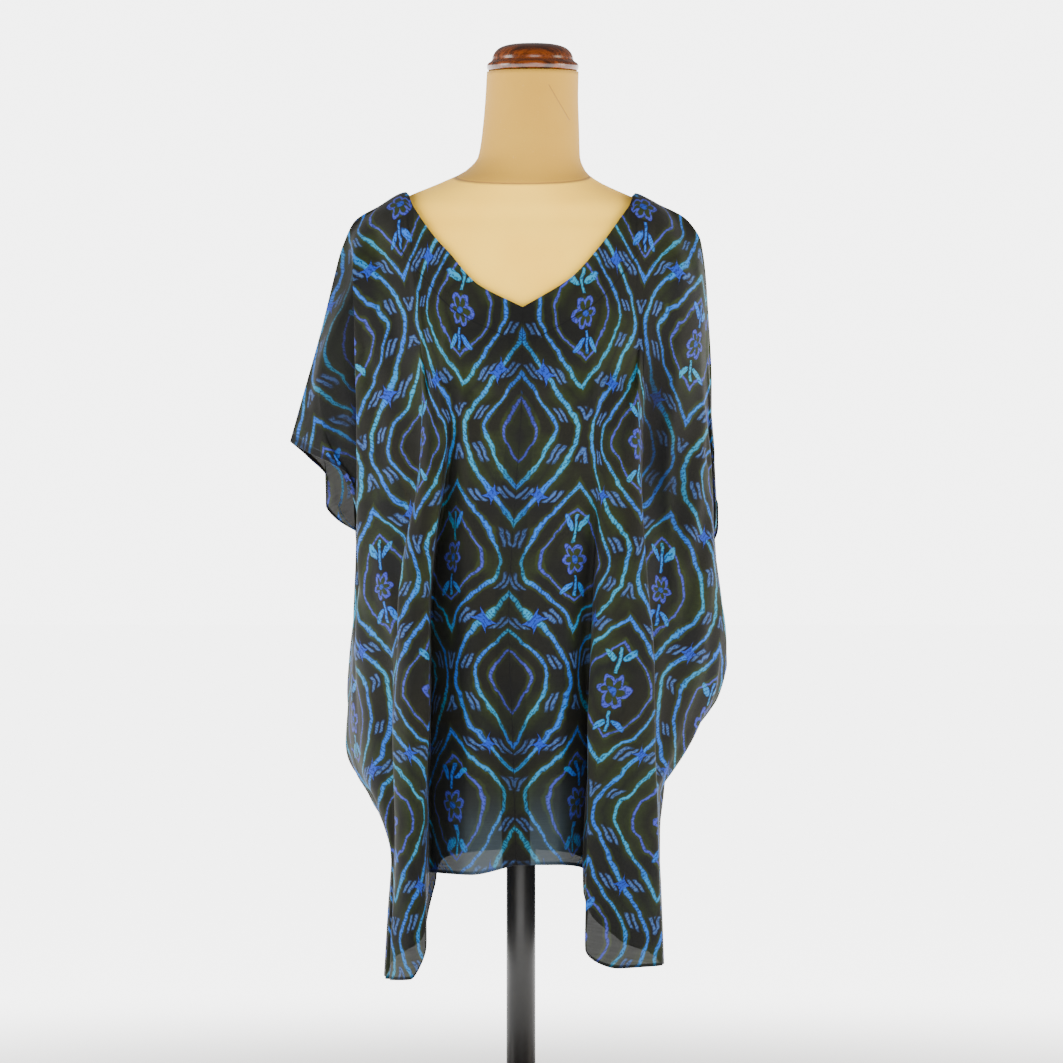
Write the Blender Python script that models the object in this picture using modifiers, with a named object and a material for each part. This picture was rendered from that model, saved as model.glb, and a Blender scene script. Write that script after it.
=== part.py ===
import math

import bpy
import numpy as np

# A loose top of four panels, worn on a limbless dress form that stands on a pole.
# X runs to the viewer's right, Y runs away from the viewer and Z runs up.
# The tables are in millimetres and the driving sizes are in metres.

cloth_wall = 0.0012  # thickness of every panel
facing_wall = 0.0010  # thickness of the neck facing
piece_gap = 0.0003  # free space where two pieces meet
facing_room = 0.0003  # more room behind the curved front, so that the flat mesh faces stay apart
neck_clear = 0.0044  # middle of the cloth to the form, inside the neckline's facing
shoulder_clear = 0.0009  # middle of the cloth to the form, past the facing
steps_across = 3  # mesh columns from one fold to the next
turned_steps = 36  # round the turned pieces
form_steps = 36  # round the padded form

pole_radius = 0.016
pole_foot = 0.0223
pole_top = 0.4047
neck_lean = 0.013  # the neck stands this far to the viewer's right of the pole

# Share of a column's length at each mesh row: the rows are closer where the cloth turns over the shoulder.
row_share = (0, 0.004, 0.02, 0.045, 0.077, 0.115, 0.155, 0.195, 0.235, 0.28, 0.325, 0.37, 0.42, 0.47)
row_share += (0.52, 0.57, 0.62, 0.67, 0.72, 0.77, 0.82, 0.87, 0.935, 1.0)
facing_rows = (1, 4)  # the facing runs from the first of these rows to the last
underarm_row = 9  # the armhole ends and the side seam starts

# Sections of the padded form.
# height, middle (X), half width, front, back, squareness
form_sections = [
    (405, 0, 159, 103, 117, 2.2),
    (440, 0, 158, 103, 116, 2.2),
    (480, 0, 148, 99, 109, 2.2),
    (520, 0, 134, 94, 98, 2.2),
    (560, 0, 122, 88, 87, 2.2),
    (600, 0, 118, 86, 81, 2.2),
    (640, 0, 124, 92, 82, 2.2),
    (680, 0, 134, 104, 88, 2.2),
    (720, 0, 145, 119, 95, 2.2),
    (760, 0, 152, 128, 100, 2.3),
    (800, 0, 156, 121, 104, 2.4),
    (840, 0, 162, 108, 105, 2.5),
    (880, 0, 170, 95, 102, 2.5),
    (920, 0, 175, 84, 95, 2.4),
    (945, 0, 175, 76, 86, 2.3),
    (958, -1, 169, 71, 81, 2.2),
    (972, -1, 149, 67, 76, 2.2),
    (986, -2, 118, 62, 71, 2.1),
    (1000, 0, 86, 58, 66, 2.0),
    (1012, 5, 66, 55, 61, 2.0),
    (1028, 9, 56, 54, 56, 2.0),
    (1060, 11, 53, 55, 51, 2.0),
    (1095, 12, 51, 56, 47, 2.0),
    (1121, 13, 50.5, 56, 45, 2.0),
]

# The shoulder line of each side, from the neck point to the sleeve's tip.
# across (X), height
shoulder_left = [(-128, 986), (-161, 971), (-183, 957), (-192, 940), (-200, 918), (-211, 871)]
shoulder_left += [(-225, 818), (-240, 765), (-254, 715)]
shoulder_right = [(127, 985), (148, 976), (177, 963), (190, 950), (198, 935), (203, 897)]
shoulder_right += [(207, 844), (210, 778), (210, 699)]

# How round the fold on the shoulder line is, at each distance from the form's axis.
# distance, radius
fold_round = [(100, 34), (165, 34), (190, 24), (205, 12), (260, 9)]

# The side seams, from the underarm to the hem's corner.
# height, across (X), depth (Y)
seam_left = [
    (614, -179, -2), (560, -182, 2), (514, -185, 4), (462, -188, 4), (420, -191, 4),
    (382, -193, 0), (369, -191, -5), (356, -185, -14), (343, -175, -26),
]
seam_left += [(316, -161, -42), (290, -144, -56), (268, -141, -64), (205, -145, -80), (133, -149, -92)]
seam_right = [
    (596, 206, -4), (554, 216, 0), (514, 222, 4), (488, 226, 6), (470, 227, 6), (448, 221, 4),
    (422, 206, 0), (396, 190, -10),
]
seam_right += [(369, 174, -26), (343, 158, -46), (328, 151, -58), (296, 150, -66), (230, 153, -80), (146, 156, -92)]

# The armhole's free edges, from the sleeve's tip to the underarm.
# height, across (X), depth (Y)
armhole_edges = {
    "front_left": [
        (715, -254, 0), (702, -232, -20), (690, -206, -33), (674, -186, -34), (645, -178, -20),
    ],
    "back_left": [(715, -254, 0), (697, -234, 24), (672, -214, 38), (648, -216, 38), (630, -204, 24)],
    "front_right": [(699, 210, 0), (674, 212, -14), (648, 213, -19), (622, 212, -15), (606, 208, -8)],
    "back_right": [(699, 210, 0), (676, 213, 14), (648, 216, 22), (620, 216, 18), (604, 211, 8)],
}

# Folds of each panel, from the centre seam outwards, without the outer edge.
# Each row is one fold line: height, across (X), depth (Y), from top to hem. Depth 0 is laid on the form.
front_centre = [
    (859, 2, 0), (760, 1, -133), (640, -7, -138), (520, -13, -141), (400, -9, -144),
    (256, -5, -147),
]
back_centre = [(957, 3, 0), (840, 2, 110), (700, 0, 120), (560, -3, 128), (420, -2, 134), (262, 0, 138)]

front_left = {
    "centre seam": front_centre,
    "breast": [
        (886, -49, 0), (760, -50, -132), (640, -52, -144), (520, -54, -152), (400, -54, -158),
        (246, -53, -162),
    ],
    "recess": [
        (918, -77, 0), (760, -71, -126), (674, -79, -114), (600, -91, -104), (520, -97, -101),
        (400, -98, -100), (246, -99, -98),
    ],
    "flute right": [
        (933, -91, 0), (760, -82, -127), (674, -84, -136), (600, -95, -148), (520, -100, -156),
        (400, -100, -162), (320, -104, -164), (166, -103, -162),
    ],
    "flute front": [
        (953, -106, 0), (760, -94, -124), (674, -99, -139), (600, -110, -158), (520, -116, -168),
        (400, -118, -175), (270, -120, -177), (134, -118, -172),
    ],
    "flute left": [
        (970, -117, 0), (930, -116, 0), (860, -109, 0), (760, -102, -118), (670, -112, -131),
        (600, -123, -147), (519, -132, -153), (392, -138, -155), (255, -138, -153),
        (132, -142, -148),
    ],
    "flute turn": [
        (986, -128, 0), (930, -126, 0), (860, -118, 0), (760, -108, -108), (670, -111, -110),
        (600, -121, -118), (519, -130, -122), (392, -136, -124), (255, -137, -126),
        (132, -140, -130),
    ],
    "side": [
        (971, -161, 0), (900, -155, -60), (760, -150, -84), (640, -155, -92), (520, -158, -96),
        (400, -161, -101), (316, -148, -116), (250, -139, -122), (200, -141, -126),
        (132, -146, -128),
    ],
    "fold edge": [
        (950, -188, 0), (900, -184, -58), (760, -181, -66), (640, -179, -68), (520, -180, -66),
        (400, -181, -66), (356, -176, -74), (316, -154, -94), (260, -140, -108), (200, -142, -114),
        (132, -147, -118),
    ],
    "under fold": [
        (927, -197, 0), (900, -177, -42), (760, -168, -44), (640, -168, -44), (560, -174, -40),
        (470, -182, -36), (400, -186, -34), (356, -179, -48), (316, -156, -74), (260, -141, -92),
        (200, -143, -102), (132, -148, -110),
    ],
    "sleeve": [
        (818, -225, 0), (790, -224, -24), (740, -217, -30), (690, -199, -32), (640, -180, -28),
        (560, -181, -22), (470, -186, -16), (400, -190, -14), (356, -182, -32), (316, -158, -58),
        (260, -142, -78), (200, -144, -92), (133, -148, -100),
    ],
}
front_right = {
    "centre seam": front_centre,
    "breast": [
        (892, 55, 0), (760, 57, -132), (640, 54, -144), (520, 50, -149), (440, 46, -147),
        (400, 44, -146), (256, 38, -146),
    ],
    "valley": [
        (919, 80, 0), (760, 80, -127), (640, 79, -136), (520, 74, -134), (440, 73, -120),
        (400, 73, -110), (249, 69, -100),
    ],
    "flute left": [
        (934, 92, 0), (760, 90, -124), (640, 88, -142), (520, 81, -152), (440, 75, -158),
        (400, 73, -162), (250, 71, -168), (165, 70, -168),
    ],
    "flute front": [
        (957, 108, 0), (760, 107, -118), (640, 109, -144), (520, 111, -166), (400, 108, -176),
        (250, 105, -180), (146, 104, -176),
    ],
    "flute right": [
        (971, 118, 0), (930, 120, 0), (860, 122, 0), (760, 126, -111), (677, 130, -123),
        (578, 137, -145), (486, 143, -155), (321, 147, -159), (148, 153, -152),
    ],
    "flute turn": [
        (985, 127, 0), (930, 130, 0), (860, 131, 0), (760, 131, -92), (690, 131, -94),
        (620, 133, -98), (540, 137, -110), (450, 142, -120), (321, 144, -132), (147, 151, -136),
    ],
    "recess": [
        (976, 148, 0), (900, 147, -66), (760, 144, -80), (690, 143, -76), (629, 147, -76),
        (540, 153, -88), (450, 156, -98), (328, 145, -118), (250, 146, -124), (147, 152, -128),
    ],
    "side": [
        (963, 177, 0), (900, 174, -58), (757, 169, -68), (684, 176, -66), (618, 186, -64),
        (540, 196, -60), (480, 201, -58), (430, 188, -68), (370, 163, -92), (328, 147, -106),
        (250, 148, -114), (147, 153, -120),
    ],
    "fold edge": [
        (935, 198, 0), (897, 195, -38), (778, 198, -42), (690, 203, -44), (600, 211, -40),
        (500, 219, -36), (450, 215, -40), (400, 192, -58), (360, 167, -82), (328, 149, -98),
        (250, 150, -108), (147, 154, -114),
    ],
    "sleeve": [
        (866, 205, 0), (840, 205, -18), (778, 206, -23), (690, 209, -28), (600, 214, -24),
        (540, 220, -20), (488, 226, -16), (465, 225, -16), (445, 218, -20), (400, 191, -36),
        (365, 170, -56), (328, 150, -78), (250, 151, -96), (147, 155, -103),
    ],
}
back_left = {
    "centre seam": back_centre,
    "blade": [
        (957, -48, 0), (840, -50, 109), (700, -52, 122), (560, -54, 136), (420, -54, 146),
        (258, -52, 150),
    ],
    "valley": [
        (960, -68, 0), (840, -74, 104), (700, -78, 108), (560, -82, 104), (420, -84, 102),
        (254, -84, 100),
    ],
    "flute inner": [
        (966, -88, 0), (840, -90, 98), (700, -92, 116), (560, -90, 134), (420, -90, 150),
        (300, -98, 154), (196, -102, 152),
    ],
    "flute back": [
        (974, -106, 0), (840, -104, 93), (700, -108, 118), (560, -110, 146), (420, -110, 162),
        (300, -112, 160), (162, -110, 154),
    ],
    "neck end": [
        (980, -117, 0), (840, -112, 89), (700, -116, 114), (560, -119, 141), (420, -121, 156),
        (300, -122, 154), (152, -120, 146),
    ],
    "flute outer": [
        (986, -128, 0), (930, -126, 0), (840, -120, 84), (700, -124, 110), (560, -128, 134),
        (420, -132, 148), (300, -131, 144), (147, -132, 134),
    ],
    "side": [
        (971, -161, 0), (900, -153, 70), (760, -146, 96), (640, -148, 100), (520, -152, 104),
        (420, -156, 106), (330, -146, 98), (260, -137, 88), (144, -140, 78),
    ],
    "fold edge": [
        (950, -188, 0), (900, -182, 54), (760, -176, 78), (640, -173, 86), (520, -175, 88),
        (420, -178, 84), (356, -170, 70), (300, -146, 50), (250, -138, 38), (142, -143, 26),
    ],
    "under fold": [
        (927, -197, 0), (900, -188, 40), (760, -190, 56), (650, -186, 64), (607, -176, 62),
        (520, -181, 62), (420, -187, 56), (356, -175, 40), (300, -147, 14), (250, -139, -4),
        (141, -145, -24),
    ],
    "sleeve": [
        (818, -225, 0), (790, -224, 24), (740, -218, 38), (690, -208, 46), (650, -200, 42),
        (610, -179, 34), (560, -180, 32), (470, -187, 30), (400, -190, 26), (356, -180, 10),
        (300, -148, -26), (250, -140, -44), (135, -147, -62),
    ],
}
back_right = {
    "centre seam": back_centre,
    "blade": [
        (958, 52, 0), (840, 53, 109), (700, 55, 124), (560, 56, 140), (420, 58, 150),
        (257, 50, 154),
    ],
    "valley": [
        (961, 74, 0), (840, 78, 103), (700, 80, 110), (560, 78, 110), (420, 74, 100),
        (254, 68, 96),
    ],
    "flute inner": [
        (968, 90, 0), (840, 92, 97), (700, 95, 114), (560, 94, 132), (420, 88, 148),
        (300, 80, 152), (192, 76, 150),
    ],
    "flute back": [
        (974, 107, 0), (840, 106, 92), (700, 110, 116), (560, 114, 142), (420, 112, 158),
        (300, 108, 158), (164, 104, 152),
    ],
    "neck end": [
        (980, 117, 0), (840, 114, 88), (700, 119, 111), (560, 126, 134), (420, 126, 148),
        (300, 124, 146), (154, 120, 140),
    ],
    "flute outer": [
        (985, 127, 0), (930, 127, 0), (840, 122, 83), (700, 128, 104), (560, 136, 124),
        (420, 138, 134), (300, 134, 130), (150, 134, 122),
    ],
    "side": [
        (976, 148, 0), (900, 146, 72), (760, 146, 98), (640, 152, 104), (520, 160, 108),
        (420, 158, 108), (340, 144, 92), (280, 139, 84), (148, 146, 74),
    ],
    "fold edge": [
        (963, 177, 0), (900, 174, 56), (760, 172, 84), (640, 184, 92), (540, 196, 92),
        (460, 198, 84), (400, 178, 64), (345, 152, 42), (290, 143, 30), (147, 150, 22),
    ],
    "under fold": [
        (935, 198, 0), (897, 192, 38), (760, 194, 52), (640, 203, 60), (540, 212, 58),
        (470, 216, 50), (440, 207, 44), (400, 186, 30), (345, 154, 0), (290, 145, -12),
        (146, 152, -28),
    ],
    "sleeve": [
        (866, 205, 0), (840, 205, 20), (760, 208, 28), (680, 212, 32), (600, 214, 32),
        (540, 220, 30), (480, 226, 28), (445, 217, 24), (400, 189, 10), (345, 156, -26),
        (290, 147, -44), (145, 154, -64),
    ],
}

# The fold line that starts at the neck point, where the neckline meets the shoulder line.
neck_fold = {
    "front_left": "flute turn",
    "front_right": "flute turn",
    "back_left": "flute outer",
    "back_right": "flute outer",
}

# Turned pieces: radius and height down their outer side, about their own axis.
cap_profile = [
    (0, 1152), (18, 1151.6), (28, 1150.2), (36, 1147.4), (41.5, 1142.6), (44.3, 1137),
    (45, 1133.4), (46.6, 1131.8), (49.4, 1129.8), (50.6, 1126.8), (50, 1123.6), (47.6, 1121.6),
    (45, 1121.3), (0, 1121.3),
]
base_profile = [
    (0, 22), (40, 22), (96, 20.6), (132, 18.4), (146, 15.6), (153, 11), (155, 6.4), (153.4, 2),
    (151, 0), (0, 0),
]

# name: colour, roughness
finishes = {
    "front_left": ((0.022, 0.030, 0.026), 0.75),
    "front_right": ((0.022, 0.030, 0.026), 0.75),
    "back_left": ((0.020, 0.028, 0.025), 0.75),
    "back_right": ((0.020, 0.028, 0.025), 0.75),
    "neck_facing": ((0.018, 0.022, 0.018), 0.8),
    "form_torso": ((0.78, 0.64, 0.43), 0.85),
    "neck_cap": ((0.17, 0.045, 0.008), 0.3),
    "stand_pole": ((0.02, 0.02, 0.02), 0.4),
    "stand_base": ((0.17, 0.045, 0.008), 0.3),
}


def clear_scene():
    for thing in list(bpy.data.objects):
        bpy.data.objects.remove(thing, do_unlink=True)
    for group in list(bpy.data.collections):
        bpy.data.collections.remove(group)


def make_material(name):
    colour, roughness = finishes[name]
    material = bpy.data.materials.new("mat_" + name)
    material.use_nodes = True
    shader = material.node_tree.nodes["Principled BSDF"]
    shader.inputs["Base Color"].default_value = (*colour, 1)
    shader.inputs["Roughness"].default_value = roughness
    return material


def add_object(name, points, faces, collection, smooth=True):
    mesh = bpy.data.meshes.new(name)
    mesh.from_pydata([tuple(float(c) for c in p) for p in points], [], faces)
    mesh.validate()
    mesh.update()
    thing = bpy.data.objects.new(name, mesh)
    thing.data.materials.append(make_material(name))
    collection.objects.link(thing)
    for face in mesh.polygons:
        face.use_smooth = smooth
    return thing


def cubic(knots, values, at):
    # A cubic through the knots that never passes beyond its neighbours' values.
    x = np.asarray(knots, float)
    y = np.asarray(values, float)
    step = np.diff(x)
    slope = np.diff(y) / step
    tangent = np.zeros(len(y))
    both = slope[:-1] * slope[1:]
    total = slope[:-1] + slope[1:]
    tangent[1:-1] = np.where(both > 0, 2 * both / np.where(total == 0, 1, total), 0)
    tangent[0] = slope[0]
    tangent[-1] = slope[-1]
    at = np.clip(np.asarray(at, float), x[0], x[-1])
    k = np.clip(np.searchsorted(x, at, side="right") - 1, 0, len(x) - 2)
    s = (at - x[k]) / step[k]
    rise = y[k] * (1 + 2 * s) * (1 - s) ** 2 + y[k + 1] * s * s * (3 - 2 * s)
    return rise + step[k] * (tangent[k] * s * (1 - s) ** 2 + tangent[k + 1] * s * s * (s - 1))


def form_at(height):
    table = np.array(form_sections, float)
    return [cubic(table[:, 0], table[:, k], height) for k in range(1, 6)]


def form_depth(across, height, side, clear):
    # Depth of the form's surface plus a clearance, at one side (-1 front, +1 back).
    middle, half, front, back, square = form_at(height - clear)
    depth = np.where(side < 0, front, back) + clear
    share = np.abs(across - middle) / (half + clear)
    reach = depth * np.maximum(0, 1 - share**square) ** (1 / square)
    beside = (share < 1) & (height > form_sections[0][0] - 5)
    return np.where(beside, reach, -1000)


def clearance(across):
    far = np.clip((np.abs(across) - 138) / 30, 0, 1)
    return 1000 * (neck_clear + (shoulder_clear - neck_clear) * far)


def shoulder_curve(side_table):
    table = np.array(side_table, float)
    run = np.concatenate([[0], np.cumsum(np.hypot(*np.diff(table, axis=0).T))])
    at = np.linspace(0, run[-1], 400)
    across = cubic(run, table[:, 0], at)
    height = cubic(run, table[:, 1], at)
    # Never below the form's own shoulder and its clearance.
    heights = np.linspace(940, 1010, 400)
    middle, half = form_at(heights)[:2]
    sign = np.sign(across[0])
    edge = sign * middle + half + clearance(across[0])
    top = np.interp(-np.abs(across), -edge, heights) + clearance(across)
    on_form = np.abs(across) < 172
    return across, np.where(on_form, np.maximum(height, top), height)


def fold_column(rows, side, ridge):
    # One fold line from top to hem, as points at the mesh rows.
    table = np.array(rows, float)[::-1]
    on_ridge = np.abs(rows[0][1]) > 120
    top = rows[0][0]
    if on_ridge:
        # The column starts on the shoulder line.
        near = np.argmin(np.abs(ridge[0] - rows[0][1]) + np.abs(ridge[1] - top))
        top = ridge[1][near]
        table[-1] = (top, ridge[0][near], 0)
    fall = np.linspace(0, 1, 500) ** 2
    height = top + (table[0, 0] - top) * fall
    across = cubic(table[:, 0], table[:, 1], height)
    depth = side * cubic(table[:, 0], table[:, 2], height)
    if on_ridge:
        gap = np.hypot(across[:, None] - ridge[0][None], height[:, None] - ridge[1][None]).min(axis=1)
        table_round = np.array(fold_round, float)
        radius = np.interp(np.abs(across), table_round[:, 0], table_round[:, 1])
        share = 1 - np.minimum(gap / radius, 1)
        depth = depth * np.sqrt(np.maximum(0, 1 - share * share))
    depth = np.maximum(depth, form_depth(across, height, side, clearance(across)))
    if on_ridge:
        depth[0] = 0
    line = np.stack([across, side * depth, height], axis=1)
    return spaced(line, row_share)


def spaced(line, shares):
    run = np.concatenate([[0], np.cumsum(np.linalg.norm(np.diff(line, axis=0), axis=1))])
    at = np.asarray(shares) * run[-1]
    return np.stack([np.interp(at, run, line[:, k]) for k in range(3)], axis=1)


def curve_through(points, count=300):
    # A smooth line in space through a few points.
    p = np.array([(x, y, z) for z, x, y in points], float)
    run = np.concatenate([[0], np.cumsum(np.linalg.norm(np.diff(p, axis=0), axis=1))])
    at = np.linspace(0, run[-1], count)
    return np.stack([cubic(run, p[:, k], at) for k in range(3)], axis=1)


def outer_edge(panel_name, seam):
    armhole = curve_through(armhole_edges[panel_name] + [seam[0]])
    side_seam = curve_through(seam)
    upper = np.array(row_share[: underarm_row + 1]) / row_share[underarm_row]
    lower = np.array(row_share[underarm_row:])
    lower = (lower - lower[0]) / (lower[-1] - lower[0])
    return np.concatenate([spaced(armhole, upper)[:-1], spaced(side_seam, lower)])


def panel_points(panel_name, folds, shoulder, seam):
    # The middle of the panel's wall, as a grid of points: rows down, columns outwards.
    side = -1 if panel_name.startswith("front") else 1
    ridge = shoulder_curve(shoulder)
    columns = [fold_column(rows, side, ridge) for rows in folds.values()]
    columns.append(outer_edge(panel_name, seam))
    columns = np.array(columns)
    wide = np.linalg.norm(np.diff(columns, axis=0), axis=2).mean(axis=1)
    place = np.concatenate([[0], np.cumsum(wide)])
    steps = np.arange((len(place) - 1) * steps_across + 1) / steps_across
    at = np.interp(steps, np.arange(len(place)), place)
    grid = np.empty((len(row_share), len(at), 3))
    for row in range(len(row_share)):
        for axis in range(3):
            grid[row, :, axis] = cubic(place, columns[:, row, axis], at)
    # Between the folds the cloth also stays clear of the form.
    clear = clearance(grid[..., 0])
    inner = form_depth(grid[..., 0], grid[..., 2], side, clear)
    grid[..., 1] = side * np.maximum(side * grid[..., 1], inner)
    first = list(folds).index(neck_fold[panel_name]) * steps_across
    fixed = np.stack(ridge, axis=1)
    for col in range(first, len(at)):
        x, _, z = grid[0, col]
        near = np.argmin(np.hypot(fixed[:, 0] - x, fixed[:, 1] - z))
        grid[0, col] = (fixed[near, 0], 0, fixed[near, 1])
    return grid, first


def grid_normals(grid):
    # At each point, the sum of the unit normals of the mesh faces round it.
    across = grid[1:, 1:] - grid[:-1, :-1]
    back = grid[1:, :-1] - grid[:-1, 1:]
    face = unit(np.cross(back, across))
    normal = np.zeros_like(grid)
    for down, out in ((0, 0), (0, 1), (1, 0), (1, 1)):
        normal[down : len(grid) - 1 + down, out : grid.shape[1] - 1 + out] += face
    return unit(normal)


def unit(vector):
    return vector / np.maximum(np.linalg.norm(vector, axis=-1, keepdims=True), 1e-9)


def join(a, b, edge, inner):
    # Two panels that meet on a line: one wall direction for both, and a gap between their rims.
    to_a = unit(a["grid"][inner] - a["grid"][edge])
    to_b = unit(b["grid"][inner] - b["grid"][edge])
    way = unit(to_a - to_b)
    line = unit(np.gradient(a["grid"][edge], axis=0))
    wall_way = unit(np.cross(line, way))
    guide = a["normal"][edge] + b["normal"][edge]
    wall_way = wall_way * np.where((wall_way * guide).sum(axis=1, keepdims=True) < 0, -1, 1)
    a["normal"][edge] = wall_way
    b["normal"][edge] = wall_way
    a["shift"][edge] += way * 500 * piece_gap
    b["shift"][edge] -= way * 500 * piece_gap


def wall_mesh(name, middle, normal, thickness, collection):
    half = 500 * thickness
    rows, cols = middle.shape[:2]
    outer = (middle + normal * half).reshape(-1, 3)
    inner = (middle - normal * half).reshape(-1, 3)
    points = np.concatenate([outer, inner]) / 1000
    count = rows * cols

    def at(row, col, layer=0):
        return layer * count + row * cols + col

    # Every layer is split along the diagonal that lies further out, so that layers stay parallel.
    bend = middle[:-1, :-1] + middle[1:, 1:] - middle[1:, :-1] - middle[:-1, 1:]
    outward = (bend * normal[:-1, :-1]).sum(axis=2) > 0
    faces = []
    for row in range(rows - 1):
        for col in range(cols - 1):
            a, b, c, d = at(row, col), at(row + 1, col), at(row + 1, col + 1), at(row, col + 1)
            first, second = ((a, b, c), (a, c, d)) if outward[row, col] else ((a, b, d), (b, c, d))
            for corner in (first, second):
                faces.append(corner)
                faces.append(tuple(count + k for k in reversed(corner)))
    border = [(0, c) for c in range(cols)] + [(r, cols - 1) for r in range(1, rows)]
    border += [(rows - 1, c) for c in range(cols - 2, -1, -1)] + [(r, 0) for r in range(rows - 2, 0, -1)]
    for k, here in enumerate(border):
        after = border[(k + 1) % len(border)]
        faces.append((at(*here), at(*after), at(*after, 1), at(*here, 1)))
    # On two of the four panels the columns run the other way round.
    if (grid_normals(middle) * normal).sum() > 0:
        return add_object(name, points, faces, collection)
    return add_object(name, points, [tuple(reversed(face)) for face in faces], collection)


def build_cloth(collection):
    tables = {
        "front_left": (front_left, shoulder_left, seam_left),
        "front_right": (front_right, shoulder_right, seam_right),
        "back_left": (back_left, shoulder_left, seam_left),
        "back_right": (back_right, shoulder_right, seam_right),
    }
    panels = {}
    for name, (folds, shoulder, seam) in tables.items():
        grid, first = panel_points(name, folds, shoulder, seam)
        normal = grid_normals(grid)
        if name in ("front_left", "back_right"):
            normal = -normal
        panels[name] = {"grid": grid, "normal": normal, "shift": np.zeros_like(grid), "first": first}
    rows = slice(None)
    seam_rows = slice(underarm_row, None)
    last = len(front_left) * steps_across
    for side in ("front", "back"):
        join(panels[side + "_left"], panels[side + "_right"], (rows, 0), (rows, 1))
    for side in ("left", "right"):
        front, back = panels["front_" + side], panels["back_" + side]
        top = slice(front["first"], last + 1)
        join(front, back, (0, top), (1, top))
        join(front, back, (seam_rows, last), (seam_rows, last - 1))
    for name, panel in panels.items():
        wall_mesh(name, panel["grid"] + panel["shift"], panel["normal"], cloth_wall, collection)
    # The facing takes the front panels' own points, moved in behind their walls.
    left, right = panels["front_left"], panels["front_right"]
    band = slice(facing_rows[0], facing_rows[1] + 1)
    end = left["first"] - 2
    joined = {}
    for kind in ("grid", "normal"):
        joined[kind] = np.concatenate([left[kind][band, end:0:-1], right[kind][band, : end + 1]], axis=1)
    inset = 1000 * (cloth_wall / 2 + piece_gap + facing_wall / 2 + facing_room)
    middle = joined["grid"] - joined["normal"] * inset
    wall_mesh("neck_facing", middle, joined["normal"], facing_wall, collection)


def build_form(collection):
    heights = [407, 412] + list(np.linspace(424, 930, 14))
    heights += [944, 955, 965, 975, 985, 995, 1004, 1013, 1024, 1042, 1080, 1121]
    count = form_steps
    angle = np.linspace(0, 2 * math.pi, count, endpoint=False)
    points = []
    for height in heights:
        middle, half, front, back, square = form_at(height)
        trim = {407: 4, 412: 1}.get(height, 0)
        cos, sin = np.cos(angle), np.sin(angle)
        power = 2 / square
        x = middle + (half - trim) * np.sign(cos) * np.abs(cos) ** power
        depth = np.where(sin < 0, front, back) - trim
        y = depth * np.sign(sin) * np.abs(sin) ** power
        points += [(a, b, height) for a, b in zip(x, y)]
    faces = []
    for ring in range(len(heights) - 1):
        for k in range(count):
            after = (k + 1) % count
            low, high = ring * count, (ring + 1) * count
            faces.append((low + k, low + after, high + after, high + k))
    base = len(points)
    inner = np.array(points[:count]) * (0.5, 0.5, 1) - (0, 0, 2)
    points += [tuple(p) for p in inner]
    for k in range(count):
        after = (k + 1) % count
        faces.append((after, k, base + k, base + after))
    faces.append(tuple(base + k for k in reversed(range(count))))
    top = (len(heights) - 1) * count
    faces.append(tuple(top + k for k in range(count)))
    add_object("form_torso", np.array(points) / 1000, faces, collection)


def build_turned(name, profile, centre, collection):
    points = [(r / 1000, 0, z / 1000) for r, z in profile]
    edges = [(k, k + 1) for k in range(len(points) - 1)]
    mesh = bpy.data.meshes.new(name)
    mesh.from_pydata(points, edges, [])
    thing = bpy.data.objects.new(name, mesh)
    thing.data.materials.append(make_material(name))
    collection.objects.link(thing)
    thing.location = (centre[0], centre[1], 0)
    screw = thing.modifiers.new("turn", "SCREW")
    screw.axis = "Z"
    screw.angle = 2 * math.pi
    screw.steps = turned_steps
    screw.render_steps = turned_steps
    screw.use_merge_vertices = True
    screw.merge_threshold = 0.00005
    screw.use_smooth_shade = True
    return thing


def main():
    clear_scene()
    collection = bpy.data.collections.new("kaftan_on_form")
    bpy.context.scene.collection.children.link(collection)
    build_cloth(collection)
    build_form(collection)
    build_turned("neck_cap", cap_profile, (neck_lean, -0.0055), collection)
    build_turned("stand_base", base_profile, (0, 0), collection)
    pole_profile = [(0, pole_top * 1000), (pole_radius * 1000 - 1, pole_top * 1000)]
    pole_profile += [(pole_radius * 1000, pole_top * 1000 - 1), (pole_radius * 1000, pole_foot * 1000 + 1)]
    pole_profile += [(pole_radius * 1000 - 1, pole_foot * 1000), (0, pole_foot * 1000)]
    build_turned("stand_pole", pole_profile, (0, 0), collection)


main()
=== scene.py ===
import math
import bpy
import numpy as np
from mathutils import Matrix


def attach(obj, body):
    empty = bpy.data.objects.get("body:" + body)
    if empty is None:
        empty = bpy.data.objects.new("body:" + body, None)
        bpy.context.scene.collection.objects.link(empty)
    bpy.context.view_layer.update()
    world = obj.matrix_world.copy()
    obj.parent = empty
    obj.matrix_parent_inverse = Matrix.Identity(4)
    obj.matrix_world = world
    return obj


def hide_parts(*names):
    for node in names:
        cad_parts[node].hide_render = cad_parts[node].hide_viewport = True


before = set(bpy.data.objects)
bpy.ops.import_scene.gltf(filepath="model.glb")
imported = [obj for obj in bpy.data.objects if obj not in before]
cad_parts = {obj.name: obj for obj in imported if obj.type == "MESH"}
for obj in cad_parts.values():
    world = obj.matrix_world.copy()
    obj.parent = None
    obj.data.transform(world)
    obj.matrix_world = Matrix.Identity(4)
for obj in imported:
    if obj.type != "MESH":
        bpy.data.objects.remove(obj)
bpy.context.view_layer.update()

# Shapes are worked out in millimetres, as in the part's own tables, and meshes are made in metres.
print("stage: frame loaded")

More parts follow.
